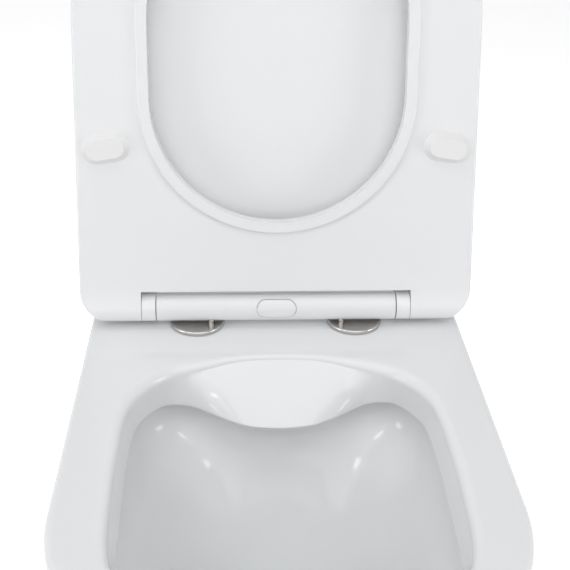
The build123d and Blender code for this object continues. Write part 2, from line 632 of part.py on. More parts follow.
def make_seat_ring():
    ring = extrude(seat_outline(RING_UNDER), amount=RING_THICKNESS, dir=(0, 0, 1))
    ring = fillet(ring.faces().sort_by(Axis.Z)[-1].edges(), RING_TOP_ROUND)
    ring = fillet(ring.faces().sort_by(Axis.Z)[0].edges(), RING_EDGE_ROUND)
    ring = ring - block((-FAR, 0, -FAR), (FAR, FAR, FAR))
    lip_low = RING_UNDER - HOLE_LIP_HEIGHT
    hole = extrude(hole_outline(lip_low), amount=3 * RING_THICKNESS, dir=(0, 0, 1))
    lip = extrude(hole_outline(lip_low, HOLE_LIP_WIDTH), amount=HOLE_LIP_HEIGHT, dir=(0, 0, 1))
    lip = fillet(lip.faces().sort_by(Axis.Z)[0].edges(), RING_UNDER_ROUND)
    ring = ring + lip - hole
    inner_top = [edge for edge in ring.faces().sort_by(Axis.Z)[-1].edges()
                 if abs(edge.center().X) < HOLE_HALF_WIDTH + PAST
                 and HOLE_BACK - PAST < -edge.center().Y < HOLE_FRONT + PAST]
    ring = fillet(inner_top, RING_TOP_ROUND)
    tall = extrude(seat_outline(-BARREL_RADIUS), amount=2 * BARREL_RADIUS, dir=(0, 0, 1))
    tall = fillet(tall.faces().sort_by(Axis.Z)[0].edges(), KNUCKLE_END_ROUND)
    knuckles = cylinder_x(BARREL_RADIUS, -SEAT_HALF_WIDTH, SEAT_HALF_WIDTH) + knuckle_blend()
    ring = ring + (knuckles & tall)
    ring = ring - block((-KNUCKLE_INNER, -NOTCH_FRONT, -FAR), (KNUCKLE_INNER, FAR, FAR))
    ring = ring - keyed_bar(-KNUCKLE_END - SHAFT_END_GAP, -KNUCKLE_INNER + SHAFT_END_GAP)
    pivot_start, pivot_end = KNUCKLE_INNER - SHAFT_END_GAP, KNUCKLE_END + SHAFT_END_GAP
    ring = ring - cylinder_x(PIVOT_RADIUS + RUNNING_CLEARANCE, pivot_start, pivot_end)
    for across, forward, tilt in bumper_places():
        for side in (-1, 1):
            ring = ring - cylinder_z(BUMPER_STEM_RADIUS, RING_UNDER, RING_UNDER + BUMPER_STEM_LENGTH,
                                     side * across, -forward)
    return ring


def make_bumper(across, forward, tilt):
    """A stadium-shaped rubber buffer with sloping sides and a stem in the ring's underside."""
    base = SlotOverall(BUMPER_BASE_LENGTH, BUMPER_BASE_WIDTH)
    face = SlotOverall(BUMPER_BASE_LENGTH - 2 * BUMPER_TAPER, BUMPER_BASE_WIDTH - 2 * BUMPER_TAPER)
    body = loft([base, Pos(0, 0, -BUMPER_HEIGHT) * face], ruled=True)
    stem = Pos(0, 0, BUMPER_STEM_LENGTH / 2) * Cylinder(BUMPER_STEM_RADIUS, BUMPER_STEM_LENGTH)
    return Pos(across, -forward, RING_UNDER) * Rot(0, 0, tilt) * (body + stem)


def make_lid():
    plate = extrude(seat_outline(LID_UNDER), amount=LID_THICKNESS, dir=(0, 0, 1))
    plate = fillet(plate.faces().sort_by(Axis.Z)[-1].edges(), LID_ROUND)
    dish = extrude(seat_outline(LID_UNDER, LID_SKIRT), amount=LID_THICKNESS - LID_SKIN, dir=(0, 0, 1))
    dish = dish - block((-FAR, -(NOTCH_FRONT + LID_REAR_BEAM), -FAR), (FAR, FAR, FAR))
    plate = plate - dish
    for across, forward in LID_PAD_PLACES:
        for side in (-1, 1):
            plate = plate + cylinder_z(LID_PAD_RADIUS, LID_UNDER, LID_TOP - LID_SKIN + 2 * INTO,
                                       side * across, -forward)
    relief = cylinder_x(BARREL_RADIUS + BODY_CLEARANCE, -FAR, FAR)
    plate = plate - relief
    plate = plate - block((-EAR_INNER, -NOTCH_FRONT, -FAR), (EAR_INNER, FAR, FAR))
    ear_front = -(NOTCH_FRONT + LID_EAR_WEB)
    ear = cylinder_x(BARREL_RADIUS, EAR_INNER, EAR_OUTER)
    ear = ear + block((EAR_INNER, ear_front, LID_UNDER), (EAR_OUTER, 0, LID_TOP - LID_ROUND))
    body = plate + mirror(ear, about=Plane.YZ) + ear
    ear_start, ear_end = EAR_INNER - SHAFT_END_GAP, EAR_OUTER + SHAFT_END_GAP
    body = body - cylinder_x(SHAFT_RADIUS + RUNNING_CLEARANCE, -ear_end, -ear_start)
    return body - keyed_bar(ear_start, ear_end)


def make_lid_bumpers():
    height = LID_ABOVE_RING - REST_GAP
    bumpers = []
    for across, forward in LID_PAD_PLACES:
        for side in (-1, 1):
            low = LID_UNDER - height
            bumpers.append(cylinder_z(LID_BUMPER_RADIUS, low, LID_UNDER, side * across, -forward))
    return bumpers


# Hinge barrel and what it holds

def make_leg(side, start, end, widen=0.0):
    """A bar that slants outward as it goes in, so that pressing it draws the latch to the middle."""
    half = LEG_WIDTH / 2 + widen
    corners = [
        (LEG_CENTRE - start - half, start),
        (LEG_CENTRE - start + half, start),
        (LEG_CENTRE - end + half, end),
        (LEG_CENTRE - end - half, end),
    ]
    profile = make_face(Polyline([(side * x, 0, z) for x, z in corners], close=True))
    bar = extrude(profile, amount=LEG_HEIGHT / 2 + widen, dir=(0, 1, 0), both=True)
    return BUTTON_PLANE.location * bar


def make_button():
    tall = extrude(SlotOverall(BUTTON_LENGTH, BUTTON_HEIGHT), amount=BUTTON_FACE + PAST)
    tall = tall - block((-FAR, -FAR, -PAST), (FAR, FAR, BUTTON_BACK))
    flange_length = BUTTON_LENGTH + 2 * BUTTON_FLANGE_OVERLAP
    flange = Pos(0, 0, BUTTON_FLANGE_LOW + BUTTON_FLANGE_THICKNESS / 2) * Box(
        flange_length, BUTTON_FLANGE_HEIGHT, BUTTON_FLANGE_THICKNESS)
    button = BUTTON_PLANE.location * (tall + flange) & cylinder_x(BUTTON_FACE, -FAR, FAR)
    for side in (-1, 1):
        button = button + make_leg(side, BUTTON_FLANGE_LOW + INTO, -LEG_REACH)
    return button


def make_latch(side):
    tip = POST_ACROSS - POST_NECK_RADIUS - BODY_CLEARANCE
    high = LATCH_HEIGHT / 2
    deep = LATCH_THICKNESS / 2
    body = block((LATCH_INNER_END, -deep, -high), (LATCH_BODY_END, deep, high))
    blade_start = LATCH_BODY_END - LATCH_THICKNESS
    blade = block((blade_start, -(POST_BEFORE_AXIS + deep), LATCH_BLADE_LOW), (tip, deep, BLADE_TOP))
    latch = body + blade
    if side < 0:
        latch = mirror(latch, about=Plane.YZ)
    return latch - make_leg(side, LATCH_HEIGHT, -LATCH_HEIGHT, BODY_CLEARANCE * math.sqrt(2))


def make_latch_spring(side):
    """A compression spring between the barrel's middle rib and the latch."""
    start = BARREL_CENTRE_RIB / 2 + SPRING_WIRE / 2 + SPRING_END_GAP
    length = LATCH_INNER_END - start - SPRING_WIRE / 2 - SPRING_END_GAP
    coil_radius = SPRING_RADIUS - SPRING_WIRE / 2
    path = Helix(pitch=length / SPRING_TURNS, height=length, radius=coil_radius)
    section = Plane(origin=path @ 0, z_dir=path % 0) * Circle(SPRING_WIRE / 2)
    coil = Pos(start, 0, 0) * Rot(0, 90, 0) * sweep(section, path)
    return coil if side > 0 else mirror(coil, about=Plane.YZ)


def make_barrel():
    barrel = cylinder_x(BARREL_RADIUS, -BARREL_HALF_LENGTH, BARREL_HALF_LENGTH)
    barrel = barrel - cylinder_x(BARREL_BORE, -MECHANISM_HALF_LENGTH, MECHANISM_HALF_LENGTH)
    inside = cylinder_x(BARREL_BORE + 2 * INTO, -MECHANISM_HALF_LENGTH, MECHANISM_HALF_LENGTH)
    rib_half = BARREL_CENTRE_RIB / 2
    rib = block((-rib_half, -SPRING_SEAT_HALF_DEPTH, -SPRING_SEAT_HALF_HEIGHT),
                (rib_half, BARREL_RADIUS, SPRING_SEAT_HALF_HEIGHT))
    barrel = barrel + (rib & inside)
    slot_deep = LATCH_THICKNESS / 2 + BODY_CLEARANCE
    slot_low = LATCH_BLADE_LOW - BODY_CLEARANCE
    slot_high = BLADE_TOP + BODY_CLEARANCE
    guide_half = LATCH_GUIDE_THICKNESS / 2
    post_y = -POST_BEFORE_AXIS
    for side in (-1, 1):
        barrel = barrel - cylinder_x(BARREL_BORE, side * DAMPER_START, side * (BARREL_HALF_LENGTH + PAST))
        guide_x = side * LATCH_GUIDE_PLACE
        guide = cylinder_x(BARREL_BORE + 2 * INTO, guide_x - guide_half, guide_x + guide_half)
        slot = block((guide_x - PAST, post_y - slot_deep, slot_low), (guide_x + PAST, slot_deep, slot_high))
        barrel = barrel + (guide - slot)
        post_x = side * POST_ACROSS
        boss = cylinder_z(POST_BOSS_RADIUS, -BARREL_RADIUS, -LATCH_THICKNESS / 2, post_x, post_y)
        stop = cylinder_z(POST_STOP_RADIUS, POST_TOP, BARREL_RADIUS, post_x, post_y)
        barrel = barrel + ((boss + stop) & cylinder_x(BARREL_RADIUS - INTO, -FAR, FAR))
        barrel = barrel - cylinder_z(POST_RADIUS + RUNNING_CLEARANCE, -2 * BARREL_RADIUS, 0, post_x, post_y)
    opening = extrude(SlotOverall(BUTTON_LENGTH + 2 * BUTTON_GAP, BUTTON_HEIGHT + 2 * BUTTON_GAP), amount=FAR)
    opening = opening - block((-FAR, -FAR, -PAST), (FAR, FAR, BARREL_RADIUS / 3))
    return barrel - BUTTON_PLANE.location * opening


def shaft_hole(side):
    """The running hole for a damper's shaft through one end of the barrel."""
    return cylinder_x(SHAFT_RADIUS + RUNNING_CLEARANCE, side * MECHANISM_HALF_LENGTH, side * FAR)


def make_damper_housing(side):
    housing = cylinder_x(DAMPER_RADIUS, side * DAMPER_START, side * DAMPER_END)
    bore = cylinder_x(DAMPER_BORE_RADIUS, side * (DAMPER_START + DAMPER_FLOOR), side * (DAMPER_END + PAST))
    rib_half = DAMPER_RIB_THICKNESS / 2
    rib_top = -ROTOR_RADIUS - DAMPER_RIB_CLEARANCE
    rib = block((-FAR, -rib_half, -DAMPER_BORE_RADIUS - INTO), (FAR, rib_half, rib_top))
    span = cylinder_x(2 * DAMPER_RADIUS, side * (DAMPER_START + DAMPER_FLOOR), side * COVER_START)
    return housing - bore + (rib & span)


def make_damper_cover(side):
    cover = cylinder_x(DAMPER_BORE_RADIUS, side * COVER_START, side * DAMPER_END) - shaft_hole(side)
    groove_start, groove_end = DAMPER_END - SEAL_WIDTH, DAMPER_END + PAST
    return cover - cylinder_x(SEAL_GROOVE_RADIUS, side * groove_start, side * groove_end)


def make_shaft_seal(side):
    seal = cylinder_x(SEAL_GROOVE_RADIUS, side * (DAMPER_END - SEAL_WIDTH), side * DAMPER_END)
    return seal - shaft_hole(side)


def make_end_cap(side):
    radius = BARREL_BORE - RUNNING_CLEARANCE
    cap = cylinder_x(radius, side * DAMPER_END, side * (DAMPER_END + END_CAP_THICKNESS))
    return cap - shaft_hole(side)


def make_rotor(side):
    """The damper's turning core with its vane, in the direction it has with the seat open."""
    core = cylinder_x(ROTOR_RADIUS, side * ROTOR_START, side * (ROTOR_START + ROTOR_LENGTH))
    vane = block((-FAR, -VANE_THICKNESS / 2, 0), (FAR, VANE_THICKNESS / 2, DAMPER_BORE_RADIUS))
    vane_reach = DAMPER_BORE_RADIUS - VANE_CLEARANCE
    span = cylinder_x(vane_reach, side * ROTOR_START, side * (ROTOR_START + ROTOR_LENGTH))
    return core + (vane & span)


def make_ring_shaft():
    """Left shaft: turns freely in the lid's ear and is keyed into the ring's knuckle."""
    shaft = cylinder_x(SHAFT_RADIUS, -ROTOR_START - PAST, -KNUCKLE_INNER)
    keyed = Rot(-OPEN_ANGLE, 0, 0) * keyed_bar(-KNUCKLE_END, -KNUCKLE_INNER + INTO)
    return make_rotor(-1) + shaft + keyed


def make_lid_shaft():
    """Right shaft: keyed into the lid's ear, with a plain pivot on which the ring's knuckle turns."""
    shaft = cylinder_x(SHAFT_RADIUS, ROTOR_START + PAST, EAR_INNER)
    keyed = Rot(-OPEN_ANGLE, 0, 0) * keyed_bar(EAR_INNER - INTO, EAR_OUTER)
    pivot = cylinder_x(PIVOT_RADIUS, EAR_OUTER - INTO, KNUCKLE_END)
    return make_rotor(1) + shaft + keyed + pivot


# Seat fixings

def make_base_disc(side):
    centre_x = side * DISC_ACROSS
    centre_y = AXIS_Y + DISC_BEHIND_AXIS
    disc = cylinder_z(DISC_RADIUS, DISC_TOP - DISC_THICKNESS, DISC_TOP, centre_x, centre_y)
    disc = fillet(disc.faces().sort_by(Axis.Z)[-1].edges(), DISC_ROUND)
    disc = disc - cylinder_z(DISC_RECESS_RADIUS, RECESS_TOP, DISC_TOP + PAST, centre_x, centre_y)
    bolt_x = side * BOLT_ACROSS
    disc = disc - cylinder_z(BOLT_RADIUS + RUNNING_CLEARANCE, RIM_Z, DISC_TOP, bolt_x, AXIS_Y)
    head_seat = RECESS_TOP - BOLT_HEAD_HEIGHT
    disc = disc - cylinder_z(BOLT_HEAD_RADIUS + RUNNING_CLEARANCE, head_seat, DISC_TOP + PAST, bolt_x, AXIS_Y)
    post_y = AXIS_Y - POST_BEFORE_AXIS
    return disc - cylinder_z(POST_RADIUS, RIM_Z, DISC_TOP + PAST, side * POST_ACROSS, post_y)


def make_gasket(side):
    gasket = cylinder_z(GASKET_RADIUS, RIM_Z, RIM_Z + GASKET_THICKNESS, side * DISC_ACROSS,
                        AXIS_Y + DISC_BEHIND_AXIS)
    return gasket - cylinder_z(BOLT_RADIUS, RIM_Z - PAST, RIM_Z + PAST, side * BOLT_ACROSS, AXIS_Y)


def make_post(side):
    x = side * POST_ACROSS
    y = AXIS_Y - POST_BEFORE_AXIS
    top = AXIS_Z + POST_TOP
    neck_low = AXIS_Z + LATCH_BLADE_LOW - BODY_CLEARANCE
    neck_high = AXIS_Z + BLADE_TOP + BODY_CLEARANCE
    head_top = neck_high + POST_HEAD
    post = cylinder_z(POST_RADIUS, DISC_TOP - DISC_THICKNESS, head_top, x, y)
    tip = Cone(POST_RADIUS, POST_TIP_RADIUS, top - head_top)
    post = post + Pos(x, y, (top + head_top) / 2) * tip
    groove = cylinder_z(POST_RADIUS + INTO, neck_low, neck_high, x, y)
    groove = groove - cylinder_z(POST_NECK_RADIUS, neck_low, neck_high, x, y)
    return post - groove


def make_seat_bolt(side):
    x = side * BOLT_ACROSS
    head_seat = RECESS_TOP - BOLT_HEAD_HEIGHT
    head = cylinder_z(BOLT_HEAD_RADIUS, head_seat, RECESS_TOP, x, AXIS_Y)
    slot = Pos(x, AXIS_Y, RECESS_TOP) * Box(2 * BOLT_HEAD_RADIUS, BOLT_SLOT_WIDTH, 2 * BOLT_SLOT_DEPTH)
    shank = cylinder_z(BOLT_RADIUS, head_seat - BOLT_LENGTH, head_seat, x, AXIS_Y)
    return head - slot + shank


def make_sleeve(side):
    x = side * BOLT_ACROSS
    sleeve = cylinder_z(SEAT_HOLE_RADIUS - SIDE_GAP, RIM_Z - SLEEVE_LENGTH, RIM_Z, x, AXIS_Y)
    return sleeve - cylinder_z(BOLT_RADIUS, RIM_Z - 2 * SLEEVE_LENGTH, RIM_Z + PAST, x, AXIS_Y)


def make_sleeve_nut(side):
    x = side * BOLT_ACROSS
    top = RIM_Z - SLEEVE_LENGTH
    hexagon = extrude(RegularPolygon(SLEEVE_NUT_RADIUS, 6), SLEEVE_NUT_LENGTH)
    nut = Pos(x, AXIS_Y, top - SLEEVE_NUT_LENGTH) * hexagon
    return nut - cylinder_z(BOLT_RADIUS, top - SLEEVE_LENGTH, top + PAST, x, AXIS_Y)


# Hidden wall fixings, drawn for the right side

def make_bracket():
    half = BRACKET_HEIGHT / 2
    foot_start = STUD_SPACING / 2 - BRACKET_FOOT
    arm_start = ARM_FACE - BRACKET_THICKNESS
    foot = block((foot_start, -BRACKET_THICKNESS, -half), (ARM_FACE, 0, half))
    arm = block((arm_start, -BRACKET_DEPTH, -half), (ARM_FACE, 0, half))
    bracket = foot + arm - cylinder_y(STUD_HOLE_RADIUS, -BRACKET_FOOT, PAST, x=STUD_SPACING / 2)
    return bracket - cylinder_x(SIDE_SCREW_RADIUS, arm_start - PAST, ARM_FACE + PAST, -SIDE_SCREW_FROM_WALL)


def make_side_bush():
    y = -SIDE_SCREW_FROM_WALL
    bush = cylinder_x(SIDE_BUSH_FLANGE_RADIUS, ARM_FACE, BUSH_FACE, y)
    bush = bush + cylinder_x(SIDE_BUSH_RADIUS, ARM_FACE, BUSH_END, y)
    bush = bush - cylinder_x(SIDE_SCREW_RADIUS + SIDE_GAP, ARM_FACE - PAST, BUSH_END + PAST, y)
    return bush - cylinder_x(CAP_SPIGOT_RADIUS, HEAD_SEAT, BUSH_END + PAST, y)


def make_side_screw():
    y = -SIDE_SCREW_FROM_WALL
    head_end = HEAD_SEAT + SIDE_SCREW_HEAD_LENGTH
    shank = cylinder_x(SIDE_SCREW_RADIUS, ARM_FACE - BRACKET_THICKNESS - SIDE_SCREW_TAIL, HEAD_SEAT, y)
    head = cylinder_x(SIDE_SCREW_HEAD_RADIUS, HEAD_SEAT, head_end, y)
    hexagon = extrude(RegularPolygon(SIDE_SCREW_SOCKET, 6), SIDE_SCREW_SOCKET)
    return shank + head - Pos(head_end, y, 0) * Rot(0, -90, 0) * hexagon


def make_side_cap():
    y = -SIDE_SCREW_FROM_WALL
    seat = SIDE_OUTER + SIDE_TAPER * CAP_RADIUS + SIDE_GAP / 2
    cap = cylinder_x(CAP_RADIUS, seat, seat + CAP_THICKNESS, y)
    cap = fillet(cap.faces().sort_by(Axis.X)[-1].edges(), CAP_ROUND)
    return cap + cylinder_x(CAP_SPIGOT_RADIUS, BUSH_END - CAP_SPIGOT_LENGTH, seat + SIDE_GAP, y)


def main():
    os.makedirs("parts", exist_ok=True)
    for name, solids in make_pan().items():
        save(group(solids), name)

    save(opened(make_seat_ring()), "seat_ring")
    names = ["rear_ring_bumper", "front_ring_bumper"]
    for name, (across, forward, tilt) in zip(names, bumper_places()):
        right = make_bumper(across, forward, tilt)
        save(opened(right), name + "_right")
        save(opened(mirror(right, about=Plane.YZ)), name + "_left")
    save(opened(make_lid()), "lid")
    save(group([opened(bumper) for bumper in make_lid_bumpers()]), "lid_bumpers")

    save(at_axis(make_barrel()), "hinge_barrel")
    save(at_axis(make_button()), "release_button")
    for side, word in ((-1, "left"), (1, "right")):
        save(at_axis(make_latch(side)), "latch_" + word)
        save(at_axis(make_latch_spring(side)), "latch_spring_" + word)
        save(at_axis(make_damper_housing(side)), "damper_housing_" + word)
        save(at_axis(make_damper_cover(side)), "damper_cover_" + word)
        save(at_axis(make_shaft_seal(side)), "shaft_seal_" + word)
        save(at_axis(make_end_cap(side)), "barrel_end_cap_" + word)
    save(at_axis(make_ring_shaft()), "ring_damper_shaft")
    save(at_axis(make_lid_shaft()), "lid_damper_shaft")

    for side, word in ((-1, "left"), (1, "right")):
        save(make_base_disc(side), "hinge_base_disc_" + word)
        save(make_gasket(side), "base_disc_gasket_" + word)
        save(make_post(side), "hinge_post_" + word)
    save(group([make_seat_bolt(side) for side in (-1, 1)]), "seat_bolts")
    save(group([make_sleeve(side) for side in (-1, 1)]), "expansion_sleeves")
    save(group([make_sleeve_nut(side) for side in (-1, 1)]), "sleeve_nuts")

    for word, piece in zip(("left", "right"), reversed(both_sides(make_bracket()))):
        save(piece, "wall_bracket_" + word)
    save(group(both_sides(make_side_bush())), "side_bushes")
    save(group(both_sides(make_side_screw())), "side_screws")
    for word, piece in zip(("left", "right"), reversed(both_sides(make_side_cap()))):
        save(piece, "side_cap_" + word)


main()
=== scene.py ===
"""The looks of a wall hung toilet: glazed pan, soft-close seat and quick-release hinge.

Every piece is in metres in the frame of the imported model. X runs to the user's right as they
face the wall, Y into the wall and Z up. The seat stands open against the wall.
"""

import json
import logging
import math
from dataclasses import dataclass, field
from enum import Enum
from typing import Any

import bmesh
import bpy
import numpy as np
from mathutils import Matrix, Vector

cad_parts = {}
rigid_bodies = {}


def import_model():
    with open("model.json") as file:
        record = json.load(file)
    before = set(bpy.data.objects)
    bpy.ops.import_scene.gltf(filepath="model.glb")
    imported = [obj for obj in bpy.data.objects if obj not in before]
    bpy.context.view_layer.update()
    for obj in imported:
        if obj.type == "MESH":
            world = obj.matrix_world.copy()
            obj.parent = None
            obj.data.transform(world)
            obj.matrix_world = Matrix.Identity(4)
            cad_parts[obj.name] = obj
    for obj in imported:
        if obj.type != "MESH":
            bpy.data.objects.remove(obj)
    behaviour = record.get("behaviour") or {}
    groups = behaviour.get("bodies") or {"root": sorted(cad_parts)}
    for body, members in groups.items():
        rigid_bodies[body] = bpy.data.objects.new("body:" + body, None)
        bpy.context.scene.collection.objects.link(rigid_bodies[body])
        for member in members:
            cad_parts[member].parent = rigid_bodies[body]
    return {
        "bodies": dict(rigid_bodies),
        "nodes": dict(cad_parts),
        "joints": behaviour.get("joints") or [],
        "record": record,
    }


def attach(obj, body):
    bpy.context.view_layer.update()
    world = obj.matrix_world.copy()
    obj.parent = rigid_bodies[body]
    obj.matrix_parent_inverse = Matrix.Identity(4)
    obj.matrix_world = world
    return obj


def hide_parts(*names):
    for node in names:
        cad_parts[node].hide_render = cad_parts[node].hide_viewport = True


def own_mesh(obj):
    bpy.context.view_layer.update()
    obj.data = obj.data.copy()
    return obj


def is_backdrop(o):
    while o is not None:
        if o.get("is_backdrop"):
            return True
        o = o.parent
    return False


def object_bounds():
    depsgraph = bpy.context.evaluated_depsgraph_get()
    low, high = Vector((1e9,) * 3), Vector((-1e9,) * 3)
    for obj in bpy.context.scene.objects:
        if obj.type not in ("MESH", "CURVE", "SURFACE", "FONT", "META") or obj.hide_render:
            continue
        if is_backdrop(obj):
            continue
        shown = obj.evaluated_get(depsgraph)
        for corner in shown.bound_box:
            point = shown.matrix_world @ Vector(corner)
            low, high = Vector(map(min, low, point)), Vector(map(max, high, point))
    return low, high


logging.basicConfig(level=logging.INFO, format="%(message)s")
log = logging.getLogger("wall_hung_toilet")

# Units in metres
MM = 0.001
UM = 0.000001

# Points nearer than this are one point, in metres
WELD = 0.00002

# Edges that turn by more than this stay sharp
SHARP_DEGREES = 38.0

# The seat's hinge axis, in millimetres
HINGE_Y = -104.0
HINGE_Z = 98.0

# Heights nearer than this are the same, in millimetres
SAME = 0.000001

# The sRGB curve: a straight foot up to the knee, then a power with a lift
SRGB_KNEE = 0.04045
SRGB_FOOT = 12.92
SRGB_LIFT = 0.055
SRGB_POWER = 2.4

# Sockets of a Mix node set to colours, whose names appear more than once
MIX_SHARE, MIX_FIRST, MIX_SECOND, MIX_RESULT = 0, 6, 7, 2


class Slot(Enum):
    """The record's material slots."""

    CHINA = "vitreous_china"
    DUROPLAST = "duroplast"
    HINGE_PLASTIC = "hinge_plastic"
    CAP_PLASTIC = "cap_plastic"
    BUFFER_RUBBER = "buffer_rubber"
    CLEAR_GASKET = "clear_gasket"
    BLACK_RUBBER = "black_rubber"
    STAINLESS = "stainless"
    ZINC_STEEL = "zinc_steel"
    SPRING_STEEL = "spring_steel"
    DAMPER_PLASTIC = "damper_plastic"
    LATCH_PLASTIC = "latch_plastic"
    BUSH_PLASTIC = "bush_plastic"
    ZINC_ALLOY = "zinc_alloy"
    BRASS = "brass_nut"


class Side(Enum):
    """A side of the toilet, as the sign of its X."""

    LEFT = -1
    RIGHT = 1

    @property
    def word(self) -> str:
        """The side's word in the names of nodes and joints."""
        return self.name.lower()


# Materials


def linear(hex_colour: str) -> tuple[float, float, float, float]:
    """Turns an sRGB hex colour into linear values.

    Args:
        hex_colour: six hex digits, such as "F0F1F2".

    Returns:
        The red, green, blue and alpha that a shader socket takes.
    """
    red, green, blue = (
        c / SRGB_FOOT if c <= SRGB_KNEE else ((c + SRGB_LIFT) / (1 + SRGB_LIFT)) ** SRGB_POWER
        for c in (int(hex_colour[i : i + 2], 16) / 255 for i in (0, 2, 4))
    )
    return (red, green, blue, 1.0)


def noise_scale(ripple_mm: float) -> float:
    """The noise scale at which one ripple has a size in millimetres."""
    return 1 / (ripple_mm * MM)


def add_node(
    tree: bpy.types.NodeTree,
    kind: str,
    settings: dict[str, object] | None = None,
    inputs: dict[str | int, object] | None = None,
) -> bpy.types.Node:
    """Adds a shader node with its settings, values and links.

    Args:
        tree: the node tree it goes in.
        kind: Blender's type name of the node.
        settings: properties of the node itself.
        inputs: socket names or numbers, each with a value or another node's output.

    Returns:
        The new node.
    """
    node = tree.nodes.new(kind)
    for name, value in (settings or {}).items():
        setattr(node, name, value)
    for name, value in (inputs or {}).items():
        socket = node.inputs[name]
        if isinstance(value, bpy.types.NodeSocket):
            tree.links.new(value, socket)
        else:
            socket.default_value = value
    return node


@dataclass(frozen=True)
class Finish:
    """One real finish: its colour, gloss and the small unevenness that its making leaves.

    The wave is the long, soft unevenness of a poured or moulded surface, and the grain is the
    fine one. Both are given by the size of one ripple in millimetres, and the depths in
    micrometres. The squeeze narrows the grain on each axis, as across the lines of brushed metal.
    """

    name: str
    slot: Slot
    colour: str
    roughness: float
    metallic: float = 0.0
    ior: float = 1.5
    wave_mm: float = 30.0
    wave_depth_um: float = 0.0
    grain_mm: float = 1.0
    grain_depth_um: float = 0.0
    roughness_spread: float = 0.0
    shade_spread: float = 0.0
    shade_mm: float = 60.0
    squeeze: tuple[float, float, float] = (1.0, 1.0, 1.0)
    shade_detail: float = 2.0
    grain_detail: float = 3.0
    wave_detail: float = 1.0
    grain_low: float = 0.3
    grain_high: float = 0.7

    def build(self) -> bpy.types.Material:
        """Makes the node-based material of this finish.

        Returns:
            The finished material, which reads Object coordinates only.
        """
        material = bpy.data.materials.new(self.name)
        material.use_nodes = True
        material.diffuse_color = linear(self.colour)
        tree = material.node_tree
        tree.nodes.clear()
        output = add_node(tree, "ShaderNodeOutputMaterial")
        place = add_node(tree, "ShaderNodeTexCoord").outputs["Object"]
        shader = add_node(tree, "ShaderNodeBsdfPrincipled", inputs={
            "Base Color": linear(self.colour),
            "Roughness": self.roughness,
            "Metallic": self.metallic,
        })
        if not self.metallic:
            shader.inputs["IOR"].default_value = self.ior
        tree.links.new(shader.outputs["BSDF"], output.inputs["Surface"])
        if self.shade_spread > 0:
            self._link_shade(tree, shader, place)
        grain = self._grain_field(tree, place)
        if self.roughness_spread > 0:
            spread = add_node(tree, "ShaderNodeMapRange", inputs={
                "Value": grain,
                "From Min": self.grain_low,
                "From Max": self.grain_high,
                "To Min": max(0.0, self.roughness - self.roughness_spread),
                "To Max": self.roughness + self.roughness_spread,
            })
            tree.links.new(spread.outputs["Result"], shader.inputs["Roughness"])
        self._link_relief(tree, shader, place, grain)
        return material

    def _link_shade(
        self, tree: bpy.types.NodeTree, shader: bpy.types.Node, place: bpy.types.NodeSocket
    ) -> None:
        """Varies the colour softly, as in a casting whose body shows through unevenly.

        Args:
            tree: the material's node tree.
            shader: the shader whose colour varies.
            place: the Object coordinates.
        """
        clouds = add_node(tree, "ShaderNodeTexNoise", inputs={
            "Vector": place,
            "Scale": noise_scale(self.shade_mm),
            "Detail": self.shade_detail,
        })
        red, green, blue, alpha = linear(self.colour)
        left = 1 - self.shade_spread
        mix = add_node(tree, "ShaderNodeMix", {"data_type": "RGBA"}, {
            MIX_SHARE: clouds.outputs["Fac"],
            MIX_FIRST: (red * left, green * left, blue * left, alpha),
            MIX_SECOND: (red, green, blue, alpha),
        })
        tree.links.new(mix.outputs[MIX_RESULT], shader.inputs["Base Color"])

    def _grain_field(
        self, tree: bpy.types.NodeTree, place: bpy.types.NodeSocket
    ) -> bpy.types.NodeSocket:
        """The fine pattern as a value from 0 to 1.

        Args:
            tree: the material's node tree.
            place: the Object coordinates.

        Returns:
            The pattern's output.
        """
        mapping = add_node(tree, "ShaderNodeMapping", inputs={
            "Vector": place,
            "Scale": self.squeeze,
        })
        noise = add_node(tree, "ShaderNodeTexNoise", inputs={
            "Vector": mapping.outputs["Vector"],
            "Scale": noise_scale(self.grain_mm),
            "Detail": self.grain_detail,
        })
        return noise.outputs["Fac"]

    def _link_relief(
        self,
        tree: bpy.types.NodeTree,
        shader: bpy.types.Node,
        place: bpy.types.NodeSocket,
        grain: bpy.types.NodeSocket,
    ) -> None:
        """Adds the long wave and the fine grain as bump, each at its real depth.

        Args:
            tree: the material's node tree.
            shader: the shader that takes the bump.
            place: the Object coordinates.
            grain: the fine pattern's output.
        """
        wave = add_node(tree, "ShaderNodeTexNoise", inputs={
            "Vector": place,
            "Scale": noise_scale(self.wave_mm),
            "Detail": self.wave_detail,
        })
        layers = ((wave.outputs["Fac"], self.wave_depth_um), (grain, self.grain_depth_um))
        relief = {}
        for height, depth in layers:
            if depth > 0:
                bump = add_node(tree, "ShaderNodeBump", inputs={
                    "Height": height,
                    "Distance": depth * UM,
                    "Strength": 1.0,
                    **relief,
                })
                relief = {"Normal": bump.outputs["Normal"]}
        if relief:
            tree.links.new(relief["Normal"], shader.inputs["Normal"])


